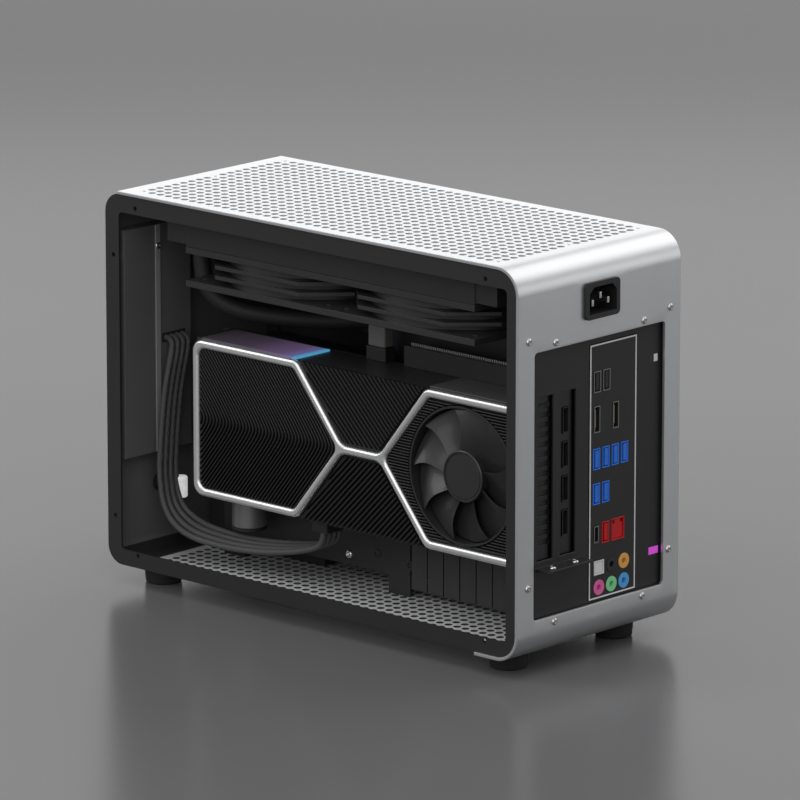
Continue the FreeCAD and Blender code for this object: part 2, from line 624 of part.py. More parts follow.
def sketch_round(body, radius):
    """Circle about the body's own origin."""
    sketch = body.newObject("Sketcher::SketchObject", body.Name + "_circle")
    support = [item for item in body.Origin.OriginFeatures if item.Role == "XY_Plane"][0]
    sketch.AttachmentSupport = [(support, "")]
    sketch.MapMode = "FlatFace"
    sketch.addGeometry(Part.Circle(Vector(), Vector(0, 0, 1), val(radius)))
    sketch.addConstraint(Sketcher.Constraint("Coincident", 0, 3, -1, 1))
    number = sketch.addConstraint(Sketcher.Constraint("Radius", 0, val(radius)))
    sketch.setExpression(f"Constraints[{number}]", ex(radius))
    return sketch


def front_fittings():
    """Cable cover on the inside of the front wall, and the power button in its sleeve."""
    back = "front_depth - steel"
    box = block("cover_box", (back, "cover_face"), ("cover_near", "cover_far"), ("cover_low", "cover_top"))
    hollow = block("cover_hollow", ("front_depth", "cover_face + cover_wall"),
                   ("cover_near + cover_wall", "cover_far - cover_wall"), ("cover_low - cover_wall",
                                                                           "cover_top + cover_wall"))
    corner = doc.addObject("Part::Box", "cover_corner")
    corner.Placement = Placement(Vector(), Rotation(Vector(1, 0, 0), 45))
    bind(corner, Length=f"{back}", Width="cover_cut * sqrt(2)", Height="cover_cut * sqrt(2)")
    place(corner, X(f"{back}"), Y("cover_far"), Z("cover_top + cover_cut"))
    slot = block("cable_slot", (back, "cover_face - cover_wall"),
                 ("cable_slot_middle - cable_slot_wide / 2", "cable_slot_middle + cable_slot_wide / 2"),
                 ("cable_slot_drop + cable_slot_tall / 2", "cable_slot_drop - cable_slot_tall / 2"))
    seam = block("cover_seam", ("cover_face", "cover_face - seam_rise"),
                 ("seam_middle - seam_wide / 2", "seam_middle + seam_wide / 2"), ("cover_low", "cover_top"))
    hollow_corner = cut("cover_inside", hollow, corner)
    shell = cut("cover_shell", fuse("cover_raised", box, seam), hollow_corner, corner, slot)
    keep(shell, "front_cable_cover")
    keep(block("lead_grommet_bar", ("cover_face + cover_wall", "cover_face"),
               ("cable_slot_middle - cable_slot_wide / 2", "cable_slot_middle + cable_slot_wide / 2"),
               ("cable_slot_drop + cable_slot_tall / 2",
                "cable_slot_drop - cable_slot_tall / 2")), "lead_grommet")

    middle = ("front_depth", "button_across", "button_drop")
    keep(rod("button_plunger", "x", middle, "button_radius", "button_long"), "power_button")
    tube = rod("sleeve_tube", "x", middle, "button_radius + button_gap + sleeve_wall", "sleeve_long")
    rim = rod("sleeve_flange", "x", ("front_depth - steel", "button_across", "button_drop"),
              "button_radius + button_gap + sleeve_wall + sleeve_rim", "steel")
    bore = rod("sleeve_bore", "x", ("front_depth + steel", "button_across", "button_drop"),
               "button_radius + button_gap", "sleeve_long")
    keep(cut("button_sleeve_cut", fuse("button_sleeve_solid", tube, rim), bore), "button_sleeve")


def mainboard():
    """Tray with stand-offs, board with its slot, memory, and the row of rear ports."""
    tray_far = "tray_near + tray_thick"
    depth = ("tray_near", tray_far)
    reach = "rear_plate_depth + steel"
    sheet_metal = block("tray_sheet", ("tray_front", reach), depth, ("tray_low", "tray_top"))
    window = block("tray_window", ("window_front", "window_rear"),
                   ("tray_near - tray_thick", f"{tray_far} + tray_thick"),
                   ("inner_height", "window_top"))
    tabs = []
    for number, along in enumerate(("tray_front", "window_front + tray_tab")):
        tabs.append(block(f"tray_tab_{number}", (along, f"{along} - tray_tab"), depth,
                          ("floor_top", "tray_low")))
    posts = []
    ends = ("board_rear + hole_inset", "board_rear + board_size - hole_inset")
    for number, along in enumerate(ends):
        for level, drop in enumerate(("board_top + standoff_drop", "board_top + board_size - hole_inset")):
            posts.append(rod(f"standoff_{number}_{level}", "y", (along, tray_far, drop), "standoff_radius",
                             "board_gap"))
    keep(fuse("board_tray_solid", cut("tray_cut", sheet_metal, window), *tabs, *posts), "board_tray")

    board = block("board_sheet", ("board_rear + board_size", "board_rear + port_proud"),
                  ("board_near", "board_far"),
                  ("board_top + board_size", "board_top"))
    slot = block("board_slot", ("board_slot_rear + board_slot_long", "board_slot_rear"),
                 ("board_far", "board_far + board_slot_tall"), ("board_slot_drop",
                                                                "board_slot_drop - riser_far + riser_near"))
    keep(fuse("mainboard_solid", board, slot), "mainboard")
    sticks = []
    for number in range(2):
        front = f"memory_front - {number} * memory_pitch"
        sticks.append(block(f"memory_stick_{number}", (front, f"{front} - memory_thick"),
                            ("board_far", "board_far + memory_deep"),
                            ("board_top + board_size / 2 + memory_long / 2",
                             "board_top + board_size / 2 - memory_long / 2")))
    keep(group("memory_group", *sticks), "memory_modules")
    ports()


def port_block(name, across, drop, wide, tall, grow="0"):
    """Outside of one port, as a box through the port plate."""
    return block(name, ("rear_plate_depth + port_deep", f"rear_plate_depth - port_proud - 2 * ({grow})"),
                 (f"{across} - ({wide}) / 2 - ({grow})", f"{across} + ({wide}) / 2 + ({grow})"),
                 (f"{drop} + ({tall}) / 2 + ({grow})", f"{drop} - ({tall}) / 2 - ({grow})"))


def port(name, across, drop, wide, tall):
    """Port shell with its socket, open to the rear."""
    outside = port_block(name + "_outside", across, drop, wide, tall)
    socket = block(name + "_socket",
                   ("rear_plate_depth - port_proud + port_recess", "rear_plate_depth - 2 * port_proud"),
                   (f"{across} - ({wide}) / 2 + port_wall", f"{across} + ({wide}) / 2 - port_wall"),
                   (f"{drop} + ({tall}) / 2 - port_wall", f"{drop} - ({tall}) / 2 + port_wall"))
    return cut(name, outside, socket)


def audio_jack(name, across, drop):
    """Round audio socket with its bore."""
    body = rod(name + "_body", "x", ("rear_plate_depth + port_deep", across, drop), "jack_radius",
               "port_deep + port_proud")
    bore = rod(name + "_bore", "x", ("rear_plate_depth + port_deep / 2", across, drop), "jack_bore",
               "port_deep")
    return cut(name + "_cut", body, bore)


def ports():
    """Port plate with every port in an opening of its own."""
    column = [f"(port_first + {number} * port_pitch)" for number in range(4)]
    jack = [f"(jack_first + {number} * jack_pitch)" for number in range(3)]
    usb = ("usb_wide", "usb_tall")
    rows = {
        "dark_ports": [(column[0], "row_black", *usb), (column[1], "row_black", *usb),
                       (column[0], "row_video", "video_wide", "video_tall"),
                       (column[2], "row_video", "video_wide", "video_tall"),
                       (column[0], "row_red", "usb_c_wide", "usb_c_tall")],
        "blue_ports": [(place_across, "row_blue", *usb) for place_across in column]
        + [(place_across, "row_blue_low", *usb) for place_across in column[:2]],
        "red_ports": [(column[1], "row_red", *usb), ("net_middle", "row_red", "net_wide", "net_tall")],
        "optical_port": [(jack[0], "row_jack", "optical_wide", "optical_tall")],
    }
    openings, made = [], {}
    for name, members in rows.items():
        made[name] = []
        for number, (across, drop, wide, tall) in enumerate(members):
            made[name].append(port(f"{name}_{number}", across, drop, wide, tall))
            openings.append(port_block(f"{name}_opening_{number}", across, drop, wide, tall, "io_gap"))
    keep(group("dark_ports_group", *made["dark_ports"], audio_jack("jack_black", jack[1], "row_jack")),
         "dark_ports")
    for name in ("blue_ports", "red_ports", "optical_port"):
        keep(group(name + "_group", *made[name]), name)
    jacks = {"jack_orange": (jack[2], "row_jack"), "jack_pink": (jack[0], "row_jack_low"),
             "jack_green": (jack[1], "row_jack_low"), "jack_blue": (jack[2], "row_jack_low")}
    for name, (across, drop) in jacks.items():
        keep(audio_jack(name, across, drop), name)
    for name, (across, drop) in [("jack_black", (jack[1], "row_jack")), *jacks.items()]:
        openings.append(rod(name + "_opening", "x", ("rear_plate_depth + port_deep", across, drop),
                            "jack_radius + io_gap", "port_deep * 2"))
    plate = block("io_sheet", ("rear_plate_depth + steel", "rear_plate_depth - io_gap * 2"),
                  ("io_near + io_gap", "io_far - io_gap"), ("io_low - io_gap", "io_top + io_gap"))
    keep(cut("io_plate_cut", plate, *openings), "io_plate")


def graphics_card():
    """Card with a crossed bar frame, finned faces, a fan, a back plate and a rear bracket."""
    half, shoulder, tip = val("card_half"), val("loop_shoulder"), val("loop_point")
    end = val("card_front - card_centre")
    rear_end = val("card_centre - card_rear - bracket_thick")
    bar, radius = val("bar_wide"), val("frame_radius")
    left = [(-end, half), (-shoulder, half), (-tip, 0), (-shoulder, -half), (-end, -half)]
    right = [(rear_end, half), (shoulder, half), (tip, 0), (shoulder, -half), (rear_end, -half)]
    loops = []
    for loop in (left, right):
        outer = Part.Face(rounded_loop(loop, 0, radius))
        inner = Part.Face(rounded_loop(loop, bar, radius - bar / 2))
        loops.append(card_face(outer, val("card_near"), val("frame_deep")).cut(
            card_face(inner, val("card_near"), val("frame_deep"))))
    reach = tip + bar
    strip = Part.Face(Part.makePolygon([Vector(-reach, -bar / 2), Vector(reach, -bar / 2),
                                        Vector(reach, bar / 2),
                                        Vector(-reach, bar / 2), Vector(-reach, -bar / 2)]))
    cross = loops[0].multiFuse([loops[1],
                                card_face(strip, val("card_near"), val("frame_deep"))]).removeSplitter()
    keep(solid("gpu_frame_solid", cross), "gpu_frame")

    # finned faces between the bars
    across, clear = bar + val("io_gap"), val("io_gap")
    falling, rising = Vector(half, shoulder - tip, 0).normalize(), Vector(half, -(shoulder - tip),
                                                                          0).normalize()
    shift = across / abs(falling.x)
    flat = across / math.tan((math.pi - math.atan2(half, shoulder - tip)) / 2)
    inner_top = half - across
    pen = [(-end + across, inner_top), (-shoulder - flat, inner_top), (-tip - shift, 0),
           (-shoulder - flat, -inner_top), (-end + across, -inner_top)]
    upper = [pen[0], pen[1], pen[2], (pen[0][0], 0)]
    lower = [(pen[0][0], 0), pen[2], pen[3], pen[4]]
    inside_left = rounded_loop(left, across, radius - bar / 2)
    keep_fins("gpu_fins_left", trimmed(ridges(pen, [(upper, falling), (lower, rising)]), inside_left))
    low = bar / 2 + clear
    notch = [(-shoulder + shift, half), (shoulder - shift, half), (tip - clear, low), (-tip + clear, low)]
    keep_fins("gpu_fins_upper", ridges(notch, [(notch, Vector(1, 1, 0).normalize())]))
    under = [(a, -b) for a, b in notch]
    keep_fins("gpu_fins_lower", ridges(under, [(under, Vector(1, -1, 0).normalize())]))
    mirror = [(rear_end - across, inner_top), (shoulder + flat, inner_top), (tip + shift, 0),
              (shoulder + flat, -inner_top), (rear_end - across, -inner_top)]
    fan_spot = point("card_centre - fan_offset", "card_near", "card_middle")
    well = Part.makeCylinder(val("fan_well"), val("fan_well_deep"), fan_spot, Vector(0, 1, 0))
    around = [piece.cut(well) for piece in
              trimmed(ridges(mirror, [(mirror, Vector(0, 1, 0))]),
                      rounded_loop(right, across, radius - bar / 2))]
    keep_fins("gpu_fins_fan", around)

    # body with the fan's well and the fan's post
    body_near = "card_near + frame_deep"
    plate_near = "card_back - plate_thick"
    core = block("card_core", ("card_front", "card_rear + bracket_thick"), (body_near, plate_near),
                 ("card_middle + card_half", "card_middle - card_half"))
    middle = ("card_centre - fan_offset", body_near, "card_middle")
    hollow = rod("card_well", "y", middle, "fan_well", "fan_well_deep")
    pocket = block("card_port_pocket", ("card_rear + card_port_deep", "0"),
                   (f"{body_near} + fan_well_deep", plate_near),
                   ("card_middle + card_half - bar_wide", "card_middle - card_half"))
    seat = f"{body_near} + fan_well_deep - axle_long - running_gap"
    post = rod("card_post", "y", (middle[0], seat, middle[2]), "card_hub - sleeve_wall",
               "axle_long + running_gap")
    bore = rod("card_post_bore", "y", (middle[0], seat, middle[2]), "axle_radius + axle_gap",
               "axle_long + running_gap")
    keep(cut("gpu_core_cut", fuse("gpu_core_solid", cut("card_hollowed", core, hollow, pocket), post),
             bore), "gpu_core")
    ring = rod("card_ring_outer", "y", (middle[0], "card_near + fin_base", middle[2]), "ring_outer",
               "ring_tall")
    ring_hole = rod("card_ring_hole", "y", (middle[0], "card_near", middle[2]), "ring_outer - ring_wall",
                    "ring_tall * 2")
    keep(cut("gpu_fan_ring_cut", ring, ring_hole), "gpu_fan_ring")
    keep(block("gpu_back", ("card_front", "card_rear + bracket_thick"), (plate_near, "card_back"),
               ("card_middle + card_half", "card_middle - card_half")), "gpu_backplate")

    hub_near = val(f"{body_near} - blade_lift - fan_proud")
    hub_deep = val(seat) - val("running_gap") - hub_near
    hub = Part.makeCylinder(val("card_hub"), hub_deep)
    axle = Part.makeCylinder(val("axle_radius"), val("axle_long") + val("running_gap"),
                             Vector(0, 0, hub_deep))
    vanes = blades(round(val("card_blades")), val("card_hub"), val("card_fan_radius"), val("card_fan_deep"),
                   val("blade_thick"), val("card_blade_sweep"), val("card_blade_turn"))
    for vane in vanes:
        vane.translate(Vector(0, 0, val("blade_lift")))
    rotor = hub.multiFuse([axle] + vanes).removeSplitter()
    rotor.Placement = Placement(point(middle[0], hub_near, middle[2]), Rotation(Vector(1, 0, 0), -90))
    keep(solid("gpu_fan_solid", rotor), "gpu_fan")
    card_rear()


def trimmed(shapes, wire):
    """Keeps what lies inside a rounded outline."""
    window = card_face(Part.Face(wire), val("card_near"), val("frame_deep"))
    return [shape.common(window) for shape in shapes]


def keep_fins(name, shapes):
    whole = shapes[0].multiFuse(shapes[1:]).removeSplitter()
    keep(solid(name + "_solid", whole), name)


def card_rear():
    """Bracket with its vent and video ports, the lit panel on top and the power plug below."""
    depth = ("card_rear + bracket_thick", "card_rear")
    across = [f"(slot_one + {number} * slot_pitch)" for number in range(2)]
    plate = block("bracket_sheet", depth, ("bracket_near", "card_back"), ("bracket_low", "bracket_top"))
    through = ("card_rear + 2 * bracket_thick", "card_rear - bracket_thick")
    tools = []
    for number in range(round(val("vent_fins"))):
        drop = f"slot_top + vent_fin_pitch * ({number} + 1)"
        tools.append(block(f"bracket_vent_{number}", through,
                           (f"{across[0]} - slot_wide / 2 + vent_rim",
                            f"{across[0]} + slot_wide / 2 - vent_rim"),
                           (f"{drop} + vent_fin / 2", f"{drop} - vent_fin / 2")))
    made = []
    for number in range(4):
        drop = f"card_port_first + {number} * card_port_pitch"
        sides = (f"{across[1]} - card_port_wide / 2", f"{across[1]} + card_port_wide / 2")
        outside = block(f"card_port_{number}", ("card_rear + card_port_deep", "card_rear - port_proud"),
                        sides,
                        (f"{drop} + card_port_tall / 2", f"{drop} - card_port_tall / 2"))
        socket = block(f"card_port_socket_{number}", ("card_rear + port_recess", "0"),
                       (f"{sides[0]} + port_wall", f"{sides[1]} - port_wall"),
                       (f"{drop} + card_port_tall / 2 - port_wall",
                        f"{drop} - card_port_tall / 2 + port_wall"))
        made.append(cut(f"card_port_shell_{number}", outside, socket))
        tools.append(block(f"card_port_opening_{number}", through,
                           (f"{sides[0]} - io_gap", f"{sides[1]} + io_gap"),
                           (f"{drop} + card_port_tall / 2 + io_gap",
                            f"{drop} - card_port_tall / 2 - io_gap")))
    keep(cut("gpu_bracket_cut", plate, *tools), "gpu_bracket")
    keep(group("gpu_ports_group", *made), "gpu_ports")
    keep(block("gpu_light_bar", ("card_front - light_inset", "card_front - light_inset - light_long"),
               ("light_near", "light_far"), ("card_middle - card_half",
                                             "card_middle - card_half - light_thick")), "gpu_light")
    keep(block("gpu_plug_body", ("plug_x + plug_long / 2", "plug_x - plug_long / 2"),
               ("plug_across - plug_wide / 2", "plug_across + plug_wide / 2"),
               ("card_middle + card_half + plug_tall", "card_middle + card_half")), "gpu_plug")


def riser():
    """Slot on top of the card, its row of contacts, and the ribbon down to the board."""
    card_top = "card_middle - card_half"
    keep(block("riser_slot_body", ("riser_front", "riser_rear"), ("riser_near", "riser_far"),
               (card_top, "riser_top")), "riser_slot")
    pins = []
    for number in range(round(val("riser_pins"))):
        front = f"riser_front - riser_pin_pitch * ({number} + 1)"
        pins.append(block(f"riser_pin_{number}", (front, f"{front} - riser_pin"),
                          ("(riser_near + riser_far - riser_pin) / 2",
                           "(riser_near + riser_far + riser_pin) / 2"),
                          ("riser_top", "riser_top - riser_pin_tall")))
    keep(group("riser_pins_group", *pins), "riser_pins")
    strips = []
    near, thick = "riser_far + riser_gap", "strip_thick"
    far = "board_far + board_slot_tall + riser_gap"
    for number in range(round(val("strip_count"))):
        front = f"riser_front - {number} * strip_pitch"
        along = (front, f"{front} - strip_wide")
        drop = block(f"strip_drop_{number}", along, (near, f"{near} + {thick}"),
                     (f"strip_low + {thick}", "riser_top"))
        low = block(f"strip_low_{number}", along, (near, f"{far} + {thick}"),
                    (f"strip_low + {thick}", "strip_low"))
        rise = block(f"strip_rise_{number}", along, (far, f"{far} + {thick}"),
                     (f"strip_low + {thick}", "strip_return"))
        strips.append(fuse(f"strip_{number}", drop, low, rise))
    keep(group("riser_ribbon_group", *strips), "riser_ribbon")


def cooling():
    """Radiator under the top, two fans below it, hoses and the pump on the board."""
    core_near, core_far = "radiator_near", "radiator_near + radiator_wide"
    core = block("radiator_core", ("radiator_front", "radiator_front - 2 * fan_size"),
                 (core_near, core_far),
                 ("fan_top", "radiator_drop"))
    tanks = []
    for name, front in (("front", "radiator_front + tank_long"), ("rear", "radiator_front - 2 * fan_size")):
        tanks.append(block(f"radiator_{name}_tank", (front, f"{front} - tank_long"),
                           (f"{core_near} + tank_step", f"{core_far} - tank_step"),
                           ("fan_top - tank_step", "radiator_drop + tank_step")))
    rows = []
    count = round(val("2 * fan_size / fin_row_pitch")) - 1
    for number in range(count):
        front = f"radiator_front - fin_row_pitch * ({number} + 1) + fin_row_gap / 2"
        rows.append(block(f"radiator_row_{number}", (front, f"{front} - fin_row_gap"),
                          (f"{core_near} + tank_long / 2", f"{core_far} - tank_long / 2"),
                          ("radiator_drop + fin_row_gap", "radiator_drop - fin_row_gap")))
    keep(cut("radiator_cut", fuse("radiator_solid", core, *tanks), *rows), "radiator")
    for name, number in (("front", 0), ("rear", 1)):
        fan(name, f"radiator_front - fan_size / 2 - {number} * fan_size")
    pump_near = "board_far"
    keep(block("pump_body", ("pump_front", "pump_front - pump_wide"),
               (pump_near, f"{pump_near} + pump_deep"),
               ("pump_top + pump_wide", "pump_top")), "pump")
    for number, name in enumerate(("hose_upper", "hose_lower")):
        route = []
        for along, across, drop, spread in HOSE_ROUTE:
            aside = [part * (number - 0.5) * val("hose_pitch") for part in spread]
            route.append(point(along, across, drop) + Vector(*aside))
        keep(solid(name + "_tube", lead(route, val("hose_radius"))), name)


# Hand-set routes: place along the case, distances from the open side and the top, then the way the row
# spreads. A hose's place is its distance from the rear, a lead's its share of the way from plug to cover.
HOSE_ROUTE = [(293, 44, 27.5, (0, 1, 0)), (293, 44, 45, (0, 1, 0)), (290, 46, 61, (0, 1, 0)),
              (278, 52, 72, (-0.45, 0.89, 0)), (256, 68, 76, (-0.62, 0.78, 0)), (232, 88, 78,
                                                                                 (-0.6, 0.8, 0)),
              (206, 106, 81, (-0.4, 0.7, -0.6)), (180, 112, 90, (0, 0.3, -0.95)), (152, 111, 104,
                                                                                   (0, 0, -1)),
              (132, 108.5, 114, (0, 0, -1)), (117, 108.5, 114, (0, 0, -1))]
LEAD_ROUTE = [(1, 49.2, 98, (0, 1, 0)), (0.9549, 49.2, 98, (0, 1, 0)), (0.934, 43.5, 109, (0, 1, 0)),
              (0.941, 39, 130, (0, 1, 0)), (0.9479, 36.8, 156, (0, 1, 0)),
              (0.9479, 34.6, 183, (0, 1, 0)), (0.9097, 33, 204, (-0.1, 1, 0.25)),
              (0.7847, 32.6, 214.5, (0, 1, 0.35)), (0.5903, 33.2, 217, (0, 1, 0.3)),
              (0.3958, 35, 216.5, (0, 1, 0.25)), (0.2222, 37.4, 213.5, (0, 1, 0.2)),
              (0.0833, 39.2, 209.5, (0, 1, 0.1)), (0, 40, 204.5, (0, 1, 0)), (0, 40, 196.1, (0, 1, 0))]


def fan(name, middle):
    """Square fan: two flanges, a tube, two eight-sided ribs, arms to the motor seat, and the rotor."""
    title = f"{name}_fan"
    centre = (middle, "radiator_near + radiator_wide / 2", "fan_top + fan_tall")
    half = "fan_size / 2"
    across = (f"{centre[1]} - {half}", f"{centre[1]} + {half}")
    along = (f"{middle} + {half}", f"{middle} - {half}")
    parts = []
    for number, (low, high) in enumerate((("fan_tall", "fan_tall - fan_flange"), ("fan_flange", "0"))):
        parts.append(block(f"{title}_flange_{number}", along, across,
                           (f"fan_top + {low}", f"fan_top + {high}")))
    parts.append(rod(f"{title}_tube", "z", centre, "fan_bore + fan_wall", "fan_tall"))
    for number, drop in enumerate(("fan_rib_high", "fan_rib_low")):
        plate = block(f"{title}_rib_plate_{number}",
                      (f"{middle} + {half} - fan_rib_inset", f"{middle} - {half} + fan_rib_inset"),
                      (f"{across[0]} + fan_rib_inset", f"{across[1]} - fan_rib_inset"),
                      (f"fan_top + {drop} + fan_rib", f"fan_top + {drop}"))
        turned = doc.addObject("Part::Box", f"{title}_rib_turned_{number}")
        turned.Placement = Placement(Vector(), Rotation(Vector(0, 0, 1), 45))
        side = "(fan_size * sqrt(2) - fan_cut * sqrt(2))"
        bind(turned, Length=side, Width=side, Height="fan_rib * 3")
        place(turned, X(middle), Y(f"{centre[1]} - {side} / sqrt(2)"), Z(f"fan_top + {drop} + fan_rib * 2"))
        rib = doc.addObject("Part::MultiCommon", f"{title}_rib_{number}")
        rib.Shapes = [plate, turned]
        parts.append(rib)
    bore = rod(f"{title}_bore", "z", (middle, centre[1], "fan_top + fan_tall * 2"), "fan_bore",
               "fan_tall * 3")
    holes = []
    for number, (sx, sy) in enumerate(((-1, -1), (-1, 1), (1, -1), (1, 1))):
        holes.append(rod(f"{title}_hole_{number}", "z",
                         (f"{middle} + {sx} * ({half} - fan_hole_inset)",
                          f"{centre[1]} + {sy} * ({half} - fan_hole_inset)",
                          "fan_top + fan_tall * 2"), "fan_hole", "fan_tall * 3"))
    frame = cut(f"{title}_square", fuse(f"{title}_outer", *parts), bore, *holes)
    low = ("fan_top + fan_tall", "fan_top + fan_tall - arm_tall")
    arms = [rod(f"{title}_seat", "z", centre, "rotor_hub", "arm_tall"),
            block(f"{title}_arm_along", (f"{middle} + fan_bore + fan_wall / 2",
                                         f"{middle} - fan_bore - fan_wall / 2"),
                  (f"{centre[1]} - arm_wide / 2", f"{centre[1]} + arm_wide / 2"), low),
            block(f"{title}_arm_across", (f"{middle} + arm_wide / 2", f"{middle} - arm_wide / 2"),
                  (f"{centre[1]} - fan_bore - fan_wall / 2",
                   f"{centre[1]} + fan_bore + fan_wall / 2"), low)]
    axle_bore = rod(f"{title}_axle_bore", "z", (middle, centre[1], "fan_top + fan_tall + arm_tall"),
                    "axle_radius + axle_gap", "arm_tall * 3")
    keep(cut(f"{title}_framed", fuse(f"{title}_whole", frame, *arms), axle_bore), f"{title}_frame")

    hub = Part.makeCylinder(val("rotor_hub"), val("rotor_tall"))
    axle = Part.makeCylinder(val("axle_radius"), val("axle_long") + val("running_gap"), Vector(),
                             Vector(0, 0, -1))
    vanes = blades(round(val("rotor_blades")), val("rotor_hub"), val("rotor_radius"),
                   val("rotor_tall - 2 * blade_lift"), val("blade_thick"), val("rotor_blade_sweep"),
                   val("rotor_blade_turn"))
    for vane in vanes:
        vane.translate(Vector(0, 0, val("blade_lift")))
    rotor = hub.multiFuse([axle] + vanes).removeSplitter()
    rotor.Placement = Placement(point(middle, centre[1], "fan_top + fan_tall - arm_tall - running_gap"),
                                Rotation())
    keep(solid(f"{title}_rotor_solid", rotor), f"{title}_rotor")


def supply_and_leads():
    """Power supply standing in the far front corner, and the four leads to the card."""
    keep(block("power_supply_box", ("supply_front", "supply_front - supply_long"),
               ("supply_near", "supply_near + supply_thick"),
               ("floor_top", "floor_top - supply_tall")), "power_supply")
    for number in range(4):
        route = []
        for share, across, drop, spread in LEAD_ROUTE:
            along = f"plug_x + (cover_face - plug_x) * {share}"
            aside = [part * (number - 1.5) * val("lead_pitch") for part in spread]
            route.append(point(along, across, drop) + Vector(*aside))
        keep(solid(f"lead_{number + 1}_tube", lead(route, val("lead_radius"))), f"gpu_lead_{number + 1}")


folded_shell()
side_frame("side_frame_near", "panel_skin")
side_frame("side_frame_far", "case_width - panel_skin - steel")
chassis()
rear_wall()
feet()
front_fittings()
mainboard()
graphics_card()
riser()
cooling()
supply_and_leads()
doc.recompute()

faults = [thing.Name for thing in doc.Objects if "Invalid" in thing.State or "Error" in thing.State]
for thing in nodes:
    if thing.Shape.isNull() or not thing.Shape.isValid() or not thing.Shape.Solids:
        faults.append(thing.Label)
if faults:
    raise ValueError("failed: " + ", ".join(faults))
os.makedirs("parts", exist_ok=True)
for thing in nodes:
    thing.Shape.exportStep(f"parts/{thing.Label}.step")
print(len(nodes), "sub-parts written")
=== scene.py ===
"""Small computer case, opened on one side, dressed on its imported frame. Metres; sizes are written in mm."""
import math

import bmesh
import bpy
from mathutils import Matrix, Vector


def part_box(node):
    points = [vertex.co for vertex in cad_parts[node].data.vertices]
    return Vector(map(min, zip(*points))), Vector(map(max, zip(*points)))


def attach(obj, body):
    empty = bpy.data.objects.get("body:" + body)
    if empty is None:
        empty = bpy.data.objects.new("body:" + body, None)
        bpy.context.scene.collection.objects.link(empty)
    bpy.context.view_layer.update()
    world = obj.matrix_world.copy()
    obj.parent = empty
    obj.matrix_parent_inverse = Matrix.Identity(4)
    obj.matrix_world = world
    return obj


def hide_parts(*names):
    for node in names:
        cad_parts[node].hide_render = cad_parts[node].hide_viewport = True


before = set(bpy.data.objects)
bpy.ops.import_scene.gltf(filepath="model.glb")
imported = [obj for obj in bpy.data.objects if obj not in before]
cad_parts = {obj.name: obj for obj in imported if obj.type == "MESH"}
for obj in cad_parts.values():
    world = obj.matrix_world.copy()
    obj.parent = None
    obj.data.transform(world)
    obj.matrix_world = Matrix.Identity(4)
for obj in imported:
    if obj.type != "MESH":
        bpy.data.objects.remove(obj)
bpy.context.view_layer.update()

MM = 0.001
REAR_PLANE, OPEN_SIDE, ROOF_PLANE = 166.75, -73.5, 250.0
CASE_WIDTH, FRONT_DEPTH, INNER_HEIGHT = 147.0, 342.5, 237.0
scene = bpy.context.scene
scene.view_settings.view_transform = "Standard"


def spot(rear, near, top):
    """Point by its distances from the rear sheet's inside, the open side and the top sheet's underside."""
    return Vector((REAR_PLANE - rear, OPEN_SIDE + near, ROOF_PLANE - top)) * MM


# Finishes

class Tone:
    """One socket of a finish. Arithmetic on it adds Math nodes."""

    def __init__(self, finish, socket):
        self.finish = finish
        self.socket = socket

    def sum(self, operation, first, second=0.0):
        return self.finish.node("ShaderNodeMath", {"operation": operation}, {0: first, 1: second})

    def __add__(self, other):
        return self.sum("ADD", self, other)

    def __sub__(self, other):
        return self.sum("SUBTRACT", self, other)

    def __rsub__(self, other):
        return self.sum("SUBTRACT", other, self)

    def __mul__(self, other):
        return self.sum("MULTIPLY", self, other)

    def __truediv__(self, other):
        return self.sum("DIVIDE", self, other)

    def __mod__(self, other):
        return self.sum("FLOORED_MODULO", self, other)

    def __lt__(self, other):
        return self.sum("LESS_THAN", self, other)

    def wave(self):
        return self.sum("SINE", self)

    __radd__ = __add__
    __rmul__ = __mul__


